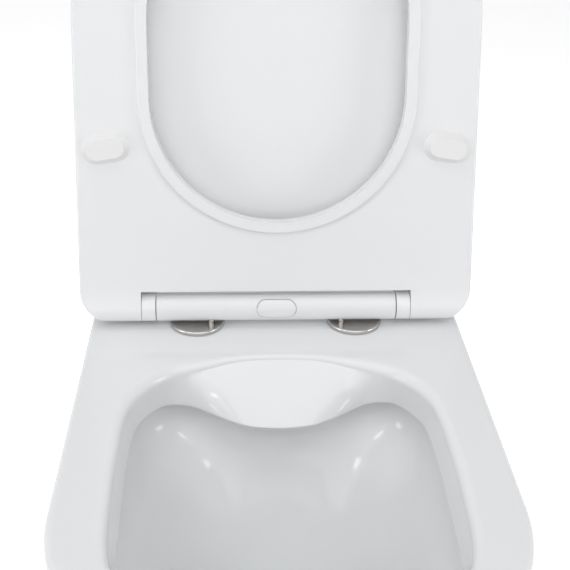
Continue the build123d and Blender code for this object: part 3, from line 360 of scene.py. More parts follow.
def finishes() -> dict[Slot, Finish]:
    """All finishes of the toilet.

    Returns:
        Each finish by the record's slot.
    """
    made = [
        # Poured china under a thick clear glaze: mirror sharp, with soft long waves in it
        Finish("glazed vitreous china", Slot.CHINA, "EFF0F1", 0.07, ior=1.52, wave_mm=38,
               wave_depth_um=60, grain_mm=2.2, grain_depth_um=1.5, roughness_spread=0.02,
               shade_spread=0.012),
        # Hot-pressed urea resin: hard, very even, a shade brighter and softer than the glaze
        Finish("compression moulded duroplast", Slot.DUROPLAST, "F0F1F2", 0.10, ior=1.55,
               wave_mm=70, wave_depth_um=25, grain_mm=1.5, grain_depth_um=0.8,
               roughness_spread=0.02, shade_spread=0.008),
        # Injection moulded ABS: a little softer in the gloss
        Finish("injection moulded ABS", Slot.HINGE_PLASTIC, "ECEDEE", 0.17, ior=1.53,
               wave_mm=26, wave_depth_um=12, grain_mm=1.2, grain_depth_um=0.8,
               roughness_spread=0.03, shade_spread=0.008),
        # Moulded cover caps, semi-gloss
        Finish("moulded polypropylene cap", Slot.CAP_PLASTIC, "ECECEA", 0.24, ior=1.49,
               grain_mm=0.8, grain_depth_um=1.5, roughness_spread=0.04, shade_spread=0.01),
        # Soft elastomer: satin, with a faint moulding texture
        Finish("white thermoplastic elastomer", Slot.BUFFER_RUBBER, "F0F0EF", 0.34, ior=1.5,
               grain_mm=0.5, grain_depth_um=3, roughness_spread=0.05, shade_spread=0.01),
        # Cut silicone sheet, milky
        Finish("milky silicone sheet", Slot.CLEAR_GASKET, "C2C2BE", 0.4, ior=1.41,
               grain_mm=0.7, grain_depth_um=4, roughness_spread=0.06, shade_spread=0.03),
        # Black EPDM: matt with a bloom
        Finish("black EPDM rubber", Slot.BLACK_RUBBER, "202021", 0.55, ior=1.5,
               grain_mm=0.5, grain_depth_um=6, roughness_spread=0.08, shade_spread=0.1),
        # Pressed and polished stainless sheet: bright with fine drawn lines
        Finish("polished stainless steel", Slot.STAINLESS, "C2C0BD", 0.2, metallic=1.0,
               grain_mm=0.6, grain_depth_um=1.2, roughness_spread=0.06, shade_spread=0.04,
               shade_mm=20, squeeze=(1.0, 12.0, 12.0)),
        # Electroplated zinc on pressed steel: bluish with cloudy passivation
        Finish("zinc plated steel", Slot.ZINC_STEEL, "B4BAC0", 0.33, metallic=1.0,
               grain_mm=3.0, grain_depth_um=4, roughness_spread=0.08, shade_spread=0.12,
               shade_mm=12),
        # Drawn spring wire
        Finish("drawn spring wire", Slot.SPRING_STEEL, "8C8C90", 0.3, metallic=1.0,
               grain_mm=0.4, grain_depth_um=2, roughness_spread=0.06, shade_spread=0.05),
        # Glass filled nylon: dull, with fibres showing as flecks
        Finish("glass filled nylon", Slot.DAMPER_PLASTIC, "2C2D30", 0.5, ior=1.53,
               grain_mm=0.6, grain_depth_um=6, roughness_spread=0.1, shade_spread=0.2,
               shade_mm=2),
        # Natural acetal: waxy off-white
        Finish("natural acetal", Slot.LATCH_PLASTIC, "E2E0DA", 0.35, ior=1.48,
               grain_mm=0.8, grain_depth_um=2, roughness_spread=0.05, shade_spread=0.02),
        # Natural nylon bushes
        Finish("natural nylon", Slot.BUSH_PLASTIC, "DDDAD0", 0.4, ior=1.53,
               grain_mm=0.8, grain_depth_um=3, roughness_spread=0.06, shade_spread=0.03),
        # Die-cast zinc alloy shafts: satin grey
        Finish("die cast zinc alloy", Slot.ZINC_ALLOY, "A9ABAF", 0.38, metallic=1.0,
               grain_mm=0.8, grain_depth_um=4, roughness_spread=0.08, shade_spread=0.06),
        # Turned brass nuts
        Finish("turned brass", Slot.BRASS, "C9A45A", 0.28, metallic=1.0,
               grain_mm=0.3, grain_depth_um=2, roughness_spread=0.06, shade_spread=0.06),
    ]
    return {finish.slot: finish for finish in made}


# Mesh helpers


def turns(start: float, end: float, steps: int) -> np.ndarray:
    """Angles in radians between two angles in degrees, ends included."""
    return np.radians(np.linspace(start, end, steps))


def closed_spline(knots: np.ndarray, values: np.ndarray, at: np.ndarray) -> np.ndarray:
    """A smooth periodic curve through values at knots over one full turn.

    The curve is a cubic spline: second derivatives are found from the ring of equations that
    make neighbouring pieces share slope and curvature.

    Args:
        knots: increasing angles within one turn, in radians.
        values: the value at each knot.
        at: the angles to read.

    Returns:
        The value at each angle of at.
    """
    count = len(knots)
    step = np.diff(np.append(knots, knots[0] + 2 * np.pi))
    before = np.roll(step, 1)
    matrix = np.zeros((count, count))
    index = np.arange(count)
    matrix[index, index] = 2 * (before + step)
    matrix[index, (index + 1) % count] += step
    matrix[index, (index - 1) % count] += before
    after = np.roll(values, -1)
    slope = (after - values) / step
    bend = np.linalg.solve(matrix, 6 * (slope - np.roll(slope, 1)))
    wrapped = (at - knots[0]) % (2 * np.pi) + knots[0]
    piece = np.clip(np.searchsorted(knots, wrapped, side="right") - 1, 0, count - 1)
    width = step[piece]
    far = (wrapped - knots[piece]) / width
    near = 1 - far
    left, right = bend[piece], bend[(piece + 1) % count]
    curve = ((near**3 - near) * left + (far**3 - far) * right) * width**2 / 6
    return near * values[piece] + far * values[(piece + 1) % count] + curve


def monotone(knots: np.ndarray, values: np.ndarray, at: np.ndarray) -> np.ndarray:
    """A smooth curve through values that never overshoots, by cubic pieces with limited slopes.

    Args:
        knots: increasing places.
        values: the value at each place.
        at: the places to read.

    Returns:
        The value at each place of at.
    """
    width = np.diff(knots)
    slope = np.diff(values) / width
    tangent = np.zeros(len(knots))
    same = slope[:-1] * slope[1:] > 0
    mean = 2 * slope[:-1] * slope[1:] / np.where(same, slope[:-1] + slope[1:], 1.0)
    tangent[1:-1] = np.where(same, mean, 0.0)
    tangent[0], tangent[-1] = slope[0], slope[-1]
    piece = np.clip(np.searchsorted(knots, at, side="right") - 1, 0, len(width) - 1)
    t = (at - knots[piece]) / width[piece]
    h = width[piece]
    start = (1 + 2 * t) * (1 - t) ** 2 * values[piece] + t * (1 - t) ** 2 * h * tangent[piece]
    end = t**2 * (3 - 2 * t) * values[piece + 1] + t**2 * (t - 1) * h * tangent[piece + 1]
    return start + end


@dataclass
class Patchwork:
    """A mesh that is put together from grids of points and then welded along their edges."""

    points: list[np.ndarray] = field(default_factory=list)
    faces: list[np.ndarray] = field(default_factory=list)
    count: int = 0

    def add(self, grid: np.ndarray, closed: bool = False, keep: np.ndarray | None = None) -> None:
        """Adds a grid of points as four-sided faces.

        Args:
            grid: points by row and column, in metres.
            closed: whether the last column joins the first.
            keep: which faces stay, by row and column, if not all.
        """
        rows, columns = grid.shape[:2]
        number = np.arange(rows * columns).reshape(rows, columns) + self.count
        if closed:
            number = np.concatenate([number, number[:, :1]], axis=1)
        quads = np.stack([number[:-1, :-1], number[:-1, 1:], number[1:, 1:], number[1:, :-1]], -1)
        if keep is not None:
            quads = quads[keep]
        self.faces.append(quads.reshape(-1, 4))
        self.points.append(grid.reshape(-1, 3))
        self.count += rows * columns

    def build(self, name: str) -> bpy.types.Object:
        """Welds the grids into one closed mesh with outward faces.

        Args:
            name: the piece's name.

        Returns:
            The new object, in the scene, with its place in its mesh.
        """
        mesh = bpy.data.meshes.new(name)
        mesh.from_pydata(
            np.concatenate(self.points).tolist(), [], np.concatenate(self.faces).tolist()
        )
        solid = bmesh.new()
        solid.from_mesh(mesh)
        bmesh.ops.remove_doubles(solid, verts=solid.verts, dist=WELD)
        bmesh.ops.dissolve_degenerate(solid, edges=solid.edges, dist=WELD / 2)
        bmesh.ops.recalc_face_normals(solid, faces=solid.faces)
        if solid.calc_volume(signed=True) < 0:
            bmesh.ops.reverse_faces(solid, faces=solid.faces)
        solid.to_mesh(mesh)
        solid.free()
        smooth(mesh)
        piece = bpy.data.objects.new(name, mesh)
        bpy.context.scene.collection.objects.link(piece)
        return piece


def smooth(mesh: bpy.types.Mesh) -> None:
    """Shades a mesh smooth, apart from its sharp edges.

    Args:
        mesh: the mesh that is shaded.
    """
    mesh.polygons.foreach_set("use_smooth", np.ones(len(mesh.polygons), bool))
    mesh.set_sharp_from_angle(angle=math.radians(SHARP_DEGREES))
    mesh.update()


def tube_patch(patch: Patchwork, path: np.ndarray, radius: float, sides: int = 40) -> None:
    """Adds a closed tube round a path in the middle plane.

    Each ring is the path's point plus radius times the cosine along X and the sine along the
    path's own normal in the plane. Both ends are closed by a point.

    Args:
        patch: the patchwork it goes in.
        path: points as Y and Z, in metres.
        radius: the tube's radius, in metres.
        sides: the points round it.
    """
    along = np.gradient(path, axis=0)
    along /= np.linalg.norm(along, axis=1, keepdims=True)
    normal = np.stack([-along[:, 1], along[:, 0]], 1)
    angle = np.linspace(0, 2 * np.pi, sides, endpoint=False)
    across = radius * np.cos(angle)[None, :] * np.ones((len(path), 1))
    in_plane = path[:, None, :] + radius * np.sin(angle)[None, :, None] * normal[:, None, :]
    rings = np.concatenate([across[..., None], in_plane], -1)
    start = np.broadcast_to(rings[:1].mean(1, keepdims=True), rings[:1].shape)
    end = np.broadcast_to(rings[-1:].mean(1, keepdims=True), rings[-1:].shape)
    patch.add(np.concatenate([start, rings, end]), closed=True)


def carve(piece: bpy.types.Object, cutter: bpy.types.Object) -> None:
    """Cuts one closed mesh out of another and removes the cutter.

    Args:
        piece: the mesh that is cut.
        cutter: the closed mesh that is taken away.
    """
    modifier = piece.modifiers.new("carve", "BOOLEAN")
    modifier.operation = "DIFFERENCE"
    modifier.solver = "EXACT"
    modifier.object = cutter
    shown = piece.evaluated_get(bpy.context.evaluated_depsgraph_get())
    made = bpy.data.meshes.new_from_object(shown)
    piece.modifiers.clear()
    old = piece.data
    made.name = old.name
    piece.data = made
    bpy.data.meshes.remove(old)
    bpy.data.objects.remove(cutter)
    smooth(made)


# Dressing


@dataclass
class Dresser:
    """Gives every CAD node that stays, and every new piece, its finish.

    All new pieces stand for parts of one body, which stays still.
    """

    frame: dict[str, Any]
    body: str = "pan"
    made: dict[Slot, bpy.types.Material] = field(default_factory=dict)

    def material(self, slot: Slot) -> bpy.types.Material:
        """The material of a slot, built once.

        Args:
            slot: the record's slot.

        Returns:
            The slot's material.
        """
        if slot not in self.made:
            self.made[slot] = finishes()[slot].build()
        return self.made[slot]

    def dress(self, piece: bpy.types.Object, slot: Slot) -> None:
        """Puts one finish on all of a piece.

        Args:
            piece: the piece.
            slot: the record's slot of its finish.
        """
        if not piece.material_slots:
            piece.data.materials.append(self.material(slot))
        for place in piece.material_slots:
            place.material = self.material(slot)

    def dress_nodes(self) -> None:
        """Dresses each CAD node by the record's own slot for it."""
        for part in self.frame["record"]["subparts"]:
            node = self.frame["nodes"][part["node"]]
            self.dress(node, Slot(part["material_slot"]))

    def place(self, piece: bpy.types.Object, slot: Slot, *nodes: str) -> None:
        """Dresses a new piece, hides the CAD nodes that it stands for and ties it to the body.

        Args:
            piece: the new piece.
            slot: the record's slot it takes its finish from.
            nodes: the CAD nodes that it stands for.
        """
        self.dress(piece, slot)
        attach(piece, self.body)
        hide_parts(*nodes)
        log.info("%s: %d faces on %s", piece.name, len(piece.data.polygons), self.body)


# The glazed pan and the latch springs


@dataclass
class ChinaPan:
    """The pan's glazed casting, in millimetres: skirt, rim, mouth, lip, bowl and open back.

    Depths are measured down from the rim, and the bowl's outlines forward from the hinge axis.
    """

    rim_z: float = 80.0
    axis_y: float = HINGE_Y
    height: float = 345.0
    length: float = 548.0
    half_width: float = 181.0
    wall_half_width: float = 169.5
    front_centre: float = 374.0
    foot_length: float = 345.0
    foot_half_width: float = 112.0
    straight_drop: float = 90.0
    width_ease: float = 1.7
    length_ease: float = 1.5
    wall: float = 12.0
    deck: float = 16.0
    rim_round: float = 6.0
    foot_round: float = 14.0
    sole_inset: float = 4.0
    mouth_round: float = 4.0
    side_mouth_round: float = 9.0
    # Where the mouth's edge starts to round more, and over what, as radians from the back
    round_start: float = 0.15
    round_spread: float = 0.45
    lip_depth: float = 38.0
    lip_round: float = 3.0
    channel_gap: float = 1.0
    web_back: float = 152.0
    middle: float = 231.0
    oval_start: float = 290.0
    oval_knots: int = 6
    # Half-widths of the mouth and of the lip, each with its place forward of the hinge axis
    mouth: tuple[tuple[float, float], ...] = (
        (0, 57.5), (21, 58.4), (42, 61.4), (57, 66.0), (79, 73.6), (95.5, 80.6), (110, 92),
        (120, 105), (127.5, 120.5), (131, 138), (133, 158), (134, 181), (135, 212),
        (135, 250), (134, 290),
    )
    lip: tuple[tuple[float, float], ...] = (
        (0, 117.3), (17, 116), (33, 111.4), (48, 102.5), (62, 92.5), (73, 85), (84, 80.7),
        (94, 79.8), (103, 82), (111, 89), (118, 99), (124, 112), (127.5, 130), (129, 150),
        (130, 180), (130, 215), (130, 255), (129.5, 290),
    )
    mouth_front: float = 399.0
    lip_front: float = 394.5
    # Depth, half-width, back, front and squareness of the bowl under the lip
    bowl: tuple[tuple[float, float, float, float, float], ...] = (
        (38, 139.5, 59, 403, 5.0), (60, 136.5, 64, 397, 4.6), (100, 118, 88, 378, 2.9),
        (150, 90, 118, 334, 2.5), (205, 66, 146, 276, 2.3), (255, 50, 156, 244, 2.2),
        (327, 34, 160, 222, 2.0),
    )
    floor_depth: float = 300.0
    floor_drop: float = 27.0
    floor_shrink: float = 0.45
    trap_radius: float = 30.0
    trap_bend: float = 52.0
    # The longest share of a run that one bend takes
    bend_share: float = 0.49
    # Corners of the trapway's centre line, as Y and Z
    trap_corners: tuple[tuple[float, float], ...] = (
        (-290, -221), (-226, -221), (-164, -100), (-140, -100),
    )
    slot_half_width: float = 30.0
    slot_half_height: float = 8.0
    slot_z: float = 33.0
    slot_reach: tuple[float, float] = (-175.0, -140.0)
    seat_hole_radius: float = 7.0
    seat_hole_x: float = 77.5
    side_hole_radius: float = 11.0
    side_hole_y: float = -32.0
    side_hole_reach: tuple[float, float] = (140.0, 200.0)
    # How finely the casting's grid is divided
    wall_columns: int = 81
    side_columns: int = 55
    nose_columns: int = 145
    skirt_rows: int = 26
    # Depths of the skirt's rows in its straight part, and of the last one under the rim
    high_rows: tuple[float, ...] = (70.0, 50.0, 32.0)
    top_row: float = 9.0
    # Steps of the foot's rounding, in degrees
    foot_step: float = 12.0
    rim_rows: int = 10
    deck_shares: tuple[float, ...] = (
        0.01, 0.04, 0.12, 0.25, 0.4, 0.55, 0.7, 0.82, 0.92, 0.97, 0.99,
    )
    edge_rows: int = 11
    band_rows: int = 17
    lip_rows: int = 10
    channel_shares: tuple[float, ...] = (0.2, 0.5, 0.8, 0.95)
    # Where the bowl's close rows end and its wider ones start
    upper_bowl_end: float = 100.0
    lower_bowl_start: float = 108.0
    upper_bowl_rows: int = 12
    lower_bowl_rows: int = 28
    floor_rows: int = 9
    web_rows: int = 9
    bend_points: int = 13
    hole_sides: int = 48
    # The CAD nodes that the casting stands for
    castings: tuple[str, ...] = ("pan_rim", "pan_bowl", "pan_web", "pan_skirt", "pan_foot")

    def reach(self, depth: np.ndarray) -> tuple[np.ndarray, np.ndarray, np.ndarray]:
        """Half-width at the widest place, half-width at the wall, and length, at each depth.

        Below the straight drop both ease in with a power of the fall, which is 0 at the drop's
        end and 1 at the foot.

        Args:
            depth: depths below the rim.

        Returns:
            The three sizes at each depth.
        """
        fall = np.clip(depth - self.straight_drop, 0, None) / (self.height - self.straight_drop)
        ease = fall**self.width_ease
        widest = self.half_width - (self.half_width - self.foot_half_width) * ease
        at_wall = self.wall_half_width - (self.wall_half_width - self.foot_half_width) * ease
        length = self.length - (self.length - self.foot_length) * fall**self.length_ease
        return widest, at_wall, length

    def columns(self) -> dict[str, np.ndarray]:
        """How the columns divide the outline: along the wall, the side and the nose.

        Returns:
            Fractions along the wall, from the side's rear corner forward, and nose angles.
        """
        return {
            "wall": np.linspace(-1, 1, self.wall_columns),
            "side": np.linspace(0, 1, self.side_columns),
            "nose": turns(0, 180, self.nose_columns)[1:-1],
        }

    def outline(self, depth: np.ndarray, inset: np.ndarray) -> np.ndarray:
        """The plan outline at several depths, drawn in by an inset except along the wall.

        The wall line is straight, the sides widen to the widest place, and the nose is half an
        ellipse. It starts at the left end of the wall line and runs clockwise seen from above.

        Args:
            depth: depths below the rim, one a row.
            inset: how far the outline is drawn in, one a row.

        Returns:
            Points by row and column, in millimetres.
        """
        part = self.columns()
        widest, at_wall, length = (v[:, None] for v in self.reach(depth))
        inset = inset[:, None]
        centre = self.front_centre * length / self.length
        corner = at_wall - inset
        side = widest - inset
        nose = length - centre - inset
        wall_x = part["wall"][None, :] * (at_wall - self.wall)
        right_x = corner + (side - corner) * part["side"][None, :]
        right_y = -centre * part["side"][None, :]
        nose_x = side * np.cos(part["nose"])[None, :]
        nose_y = -centre - nose * np.sin(part["nose"])[None, :]
        x = np.concatenate([wall_x, right_x, nose_x, -right_x[:, ::-1]], 1)
        y = np.concatenate([0 * wall_x, right_y, nose_y, right_y[:, ::-1]], 1)
        z = np.broadcast_to(self.rim_z - depth[:, None], x.shape)
        return np.stack([x, y, z], -1)

    def polar(
        self, half: tuple[tuple[float, float], ...], front: float, angle: np.ndarray
    ) -> np.ndarray:
        """Distance from the bowl's middle to a measured outline, by the angle from the back.

        The measured half is continued by a half oval to the front and mirrored, and a closed
        spline runs through all of it.

        Args:
            half: the outline's half-widths and places forward of the hinge axis.
            front: how far forward the outline reaches.
            angle: the columns' angles from the back.

        Returns:
            The distance at each angle.
        """
        oval = turns(90 / self.oval_knots, 90, self.oval_knots)
        along = self.oval_start + (front - self.oval_start) * np.sin(oval)
        nose = np.stack([half[-1][0] * np.cos(oval), along], 1)
        points = np.concatenate([np.array(half, float), nose])
        turn = np.arctan2(points[:, 0], self.middle - points[:, 1])
        radius = np.hypot(points[:, 0], self.middle - points[:, 1])
        turn[0], turn[-1] = 0.0, np.pi
        knots = np.concatenate([-turn[-2:0:-1], turn])
        values = np.concatenate([radius[-2:0:-1], radius])
        return closed_spline(knots, values, angle)

    def plan_point(
        self, angle: np.ndarray, radius: np.ndarray, middle: np.ndarray | float
    ) -> np.ndarray:
        """Plan points at an angle from the back and a distance from a middle place.

        Args:
            angle: angles from the back.
            radius: distances from the middle place.
            middle: how far forward of the hinge axis the middle place is.

        Returns:
            The points' X and Y, in millimetres.
        """
        x = radius * np.sin(angle)
        y = self.axis_y - middle + radius * np.cos(angle)
        return np.stack([x, y], -1)

    def section(self, depth: np.ndarray, angle: np.ndarray) -> np.ndarray:
        """The bowl's oval at several depths: a superellipse in polar form.

        Each size runs smoothly between the measured sections, and the distance is
        (|sin/half-width|^n + |cos/half-length|^n)^(-1/n).

        Args:
            depth: depths below the rim, one a row.
            angle: the columns' angles from the back.

        Returns:
            Points by row and column, in millimetres.
        """
        table = np.array(self.bowl, float)
        width, back, front, power = (
            monotone(table[:, 0], table[:, i], depth)[:, None] for i in (1, 2, 3, 4)
        )
        half_length = (front - back) / 2
        across = np.abs(np.sin(angle))[None, :] / width
        along = np.abs(np.cos(angle))[None, :] / half_length
        radius = (across**power + along**power) ** (-1 / power)
        plan = self.plan_point(np.broadcast_to(angle, radius.shape), radius, (back + front) / 2)
        z = np.broadcast_to(self.rim_z - depth[:, None], radius.shape)
        return np.concatenate([plan, z[..., None]], -1)

    def skirt_depths(self) -> np.ndarray:
        """Depths of the skirt's rows.

        Returns:
            The depths from the foot up, with the cavity's ceiling among them.
        """
        lower = np.linspace(self.straight_drop, self.height - self.foot_round, self.skirt_rows)
        return np.concatenate([lower[::-1], self.high_rows, [self.deck, self.top_row]])

    def outside(self) -> tuple[np.ndarray, np.ndarray]:
        """Rows from the foot's underside up the skirt and round the rim's outer edge.

        Returns:
            The grid in millimetres and each row's depth.
        """
        cavity_turn = math.degrees(math.asin((self.foot_round - self.wall) / self.foot_round))
        foot_turns = np.arange(90, self.foot_step, -self.foot_step)
        foot = np.radians(np.append(foot_turns, cavity_turn))
        foot_depth = self.height - self.foot_round * (1 - np.sin(foot))
        foot_inset = self.foot_round * (1 - np.cos(foot))
        foot_depth[-1] = self.height - self.wall
        skirt = self.skirt_depths()
        rim = turns(0, 90, self.rim_rows)
        rim_depth = self.rim_round * (1 - np.sin(rim))
        rim_inset = self.rim_round * (1 - np.cos(rim))
        depth = np.concatenate([[self.height], foot_depth, skirt, rim_depth])
        sole_inset = [self.foot_round + self.sole_inset]
        inset = np.concatenate([sole_inset, foot_inset, 0 * skirt, rim_inset])
        return self.outline(depth, inset), depth

    def ring(
        self, angle: np.ndarray, radius: np.ndarray, depth: np.ndarray | float
    ) -> np.ndarray:
        """One row of points round the bowl's middle.

        Args:
            angle: the columns' angles from the back.
            radius: the columns' distances from the middle.
            depth: their depths below the rim, or one depth for all.

        Returns:
            The row's points in millimetres.
        """
        plan = self.plan_point(angle, radius, self.middle)
        z = np.broadcast_to(self.rim_z - depth, radius.shape)
        return np.concatenate([plan, z[:, None]], 1)

    def mouth_grid(self, angle: np.ndarray) -> np.ndarray:
        """Rows from the mouth's edge over the band and round the lip.

        The mouth's edge is a quarter round, which grows smoothly from the back to the sides.
        The band runs straight from it to the lip, and the lip turns under in a half round.

        Args:
            angle: the columns' angles from the back.

        Returns:
            The grid in millimetres.
        """
        mouth = self.polar(self.mouth, self.mouth_front, angle)
        lip = self.polar(self.lip, self.lip_front, angle)
        from_back = np.abs((angle + np.pi) % (2 * np.pi) - np.pi)
        away = np.clip((from_back - self.round_start) / self.round_spread, 0, 1)
        away = away**2 * (3 - 2 * away)
        rounding = self.mouth_round + (self.side_mouth_round - self.mouth_round) * away
        band_end = self.lip_depth - self.lip_round
        rows = []
        for turn in turns(90, 0, self.edge_rows):
            radius = mouth + rounding * (1 - math.cos(turn))
            rows.append(self.ring(angle, radius, rounding * (1 - math.sin(turn))))
        for share in np.linspace(0, 1, self.band_rows)[1:]:
            depth = rounding + (band_end - rounding) * share
            rows.append(self.ring(angle, mouth + (lip - mouth) * share, depth))
        for turn in turns(0, 180, self.lip_rows)[1:]:
            radius = lip + self.lip_round * (1 - math.cos(turn))
            rows.append(self.ring(angle, radius, band_end + self.lip_round * math.sin(turn)))
        return np.stack(rows)

    def inside(self, angle: np.ndarray) -> np.ndarray:
        """Rows from the mouth's edge over the band and the lip, under it, and down the bowl.

        The lip's underside runs straight to the channel, from which the bowl's ovals lead down
        to the sump. Its floor is rounded: the ovals drop with the sine of a quarter turn and
        shrink with its cosine.

        Args:
            angle: the columns' angles from the back.

        Returns:
            The grid in millimetres.
        """
        mouth = self.mouth_grid(angle)
        channel_depth = self.lip_depth + self.channel_gap
        channel = self.section(np.array([channel_depth]), angle)[0]
        shares = np.array(self.channel_shares)[:, None, None]
        underside = mouth[-1] + (channel - mouth[-1]) * shares
        bowl = self.section(np.concatenate([
            np.linspace(channel_depth, self.upper_bowl_end, self.upper_bowl_rows),
            np.linspace(self.lower_bowl_start, self.floor_depth, self.lower_bowl_rows),
        ]), angle)
        turn = turns(0, 90, self.floor_rows)[1:]
        floor = self.section(np.full(len(turn), self.floor_depth), angle)
        centre = floor.mean(1, keepdims=True)
        shrink = (1 - self.floor_shrink * (1 - np.cos(turn)))[:, None, None]
        floor = centre + (floor - centre) * shrink
        floor[..., 2] = (self.rim_z - (self.floor_depth + self.floor_drop * np.sin(turn)))[:, None]
        pole = np.broadcast_to(floor[-1:].mean(1, keepdims=True), floor[-1:].shape)
        return np.concatenate([mouth, underside, bowl, floor, pole])

    def cavity(self, patch: Patchwork, depths: np.ndarray) -> None:
        """Adds the open space at the wall: two sides, ceiling, floor and the web at its end.

        Its half-width goes straight from the wall line's to the widest place's, less the wall.

        Args:
            patch: the patchwork it goes in.
            depths: the depths of its rows, from its ceiling down.
        """
        share = self.columns()["wall"]
        back = np.linspace(0, self.web_back, self.web_rows)
        widest, at_wall, length = (v[:, None] for v in self.reach(depths))
        centre = self.front_centre * length / self.length
        inner = at_wall + (widest - at_wall) * back[None, :] / centre - self.wall
        y = np.broadcast_to(-back[None, :], inner.shape)
        z = np.broadcast_to(self.rim_z - depths[:, None], inner.shape)
        for side in (-1, 1):
            patch.add(np.stack([side * inner, y, z], -1) * MM)
        for row in (0, -1):
            x = inner[row][:, None] * share[None, :]
            level = np.full(x.shape, self.rim_z - depths[row])
            depth_y = np.broadcast_to(-back[:, None], x.shape)
            patch.add(np.stack([x, depth_y, level], -1) * MM)
        x = inner[:, -1:] * share[None, :]
        z = np.broadcast_to(self.rim_z - depths[:, None], x.shape)
        patch.add(np.stack([x, np.full(x.shape, -self.web_back), z], -1) * MM)

    def trap_line(self) -> np.ndarray:
        """The trapway's centre line: straight runs joined by arcs.

        Each arc's points are weighted from its two ends by the sines of their angles.

        Returns:
            Points as Y and Z, in metres.
        """
        corners = np.array(self.trap_corners, float)
        points = [corners[0]]
        for before, here, after in zip(corners, corners[1:], corners[2:]):
            to_before = (before - here) / np.linalg.norm(before - here)
            to_after = (after - here) / np.linalg.norm(after - here)
            half = math.acos(float(to_before @ to_after)) / 2
            longest = self.bend_share * np.linalg.norm(after - here)
            reach = min(self.trap_bend / math.tan(half), longest)
            radius = reach * math.tan(half)
            middle = to_before + to_after
            centre = here + middle / np.linalg.norm(middle) * radius / math.sin(half)
            start = here + to_before * reach - centre
            end = here + to_after * reach - centre
            sweep = math.pi - 2 * half
            share = np.linspace(0, 1, self.bend_points)[:, None]
            arc = start * np.sin((1 - share) * sweep) + end * np.sin(share * sweep)
            points.extend(centre + arc / math.sin(sweep))
        points.append(corners[-1])
        return np.array(points) * MM

    def prism(
        self, name: str, outline: np.ndarray, axis: int, ends: tuple[float, float]
    ) -> bpy.types.Object:
        """A closed prism whose outline lies across one axis, in millimetres.

        The outline stands at both ends, and each end is closed to the outline's middle.

        Args:
            name: the cutter's name.
            outline: points of the outline on the two other axes, in their order.
            axis: the number of the axis it runs along.
            ends: where it starts and ends on that axis.

        Returns:
            The new object.
        """
        middle = outline.mean(0, keepdims=True) + 0 * outline
        rows = np.stack([middle, outline, outline, middle])
        along = np.array([ends[0], ends[0], ends[1], ends[1]], float)[:, None, None]
        grid = np.insert(rows, [axis], np.broadcast_to(along, rows.shape[:2] + (1,)), axis=2)
        patch = Patchwork()
        patch.add(grid * MM, closed=True)
        return patch.build(name)

    def openings(self) -> list[bpy.types.Object]:
        """Cutters for the flush slot in the web, the seat's fixing holes and the side holes.

        A hole's outline is a circle, and the slot's is one whose halves are moved apart.

        Returns:
            The cutters, each a closed mesh.
        """
        turn = np.linspace(0, 2 * np.pi, self.hole_sides, endpoint=False)
        disc = np.stack([np.cos(turn), np.sin(turn)], -1)
        straight = np.sign(disc[:, :1]) * (self.slot_half_width - self.slot_half_height)
        slot = disc * self.slot_half_height + np.concatenate([straight, 0 * straight], 1)
        slot[:, 1] += self.slot_z
        cutters = [self.prism("flush_slot", slot, 1, self.slot_reach)]
        through_deck = (self.rim_z - 2 * self.deck, self.rim_z + self.deck)
        near, far = self.side_hole_reach
        for side in (-1, 1):
            seat = disc * self.seat_hole_radius + np.array([side * self.seat_hole_x, self.axis_y])
            cutters.append(self.prism("seat_hole", seat, 2, through_deck))
            hole = disc * self.side_hole_radius + np.array([self.side_hole_y, 0.0])
            ends = (min(side * near, side * far), max(side * near, side * far))
            cutters.append(self.prism("side_hole", hole, 0, ends))
        return cutters

    def build(self) -> bpy.types.Object:
        """Builds the casting as one closed mesh and cuts its waterways and holes.

        The deck's rows divide the straight lines from the rim's edge to the mouth's edge.

        Returns:
            The finished pan.
        """
        outside, depth = self.outside()
        top = outside[-1]
        angle = np.arctan2(top[:, 0], top[:, 1] - (self.axis_y - self.middle))
        inside = self.inside(angle)
        edge = inside[0]
        shares = np.array(self.deck_shares)[:, None, None]
        deck = top[None] + (edge - top)[None] * shares
        foot_row = outside[:1]
        pole = np.broadcast_to(foot_row.mean(1, keepdims=True), foot_row.shape)
        whole = np.concatenate([pole, outside, deck, inside])
        rows = np.concatenate([[self.height], depth, np.zeros(len(deck) + len(inside))])
        low, high = self.deck - SAME, self.height - self.wall + SAME
        open_at = (rows >= low) & (rows <= high)
        open_rows = open_at[:-1] & open_at[1:]
        open_columns = np.arange(whole.shape[1]) < self.wall_columns - 1
        patch = Patchwork()
        patch.add(whole * MM, closed=True, keep=~(open_rows[:, None] & open_columns[None, :]))
        self.cavity(patch, np.sort(rows[open_at]))
        pan = patch.build("glazed_pan")
        waterway = Patchwork()
        tube_patch(waterway, self.trap_line(), self.trap_radius * MM)
        for cutter in [waterway.build("trapway"), *self.openings()]:
            carve(pan, cutter)
        return pan

    def dress(self, pan: bpy.types.Object, dresser: Dresser) -> None:
        """Glazes the pan and puts it in place of its CAD nodes."""
        dresser.place(pan, Slot.CHINA, *self.castings)


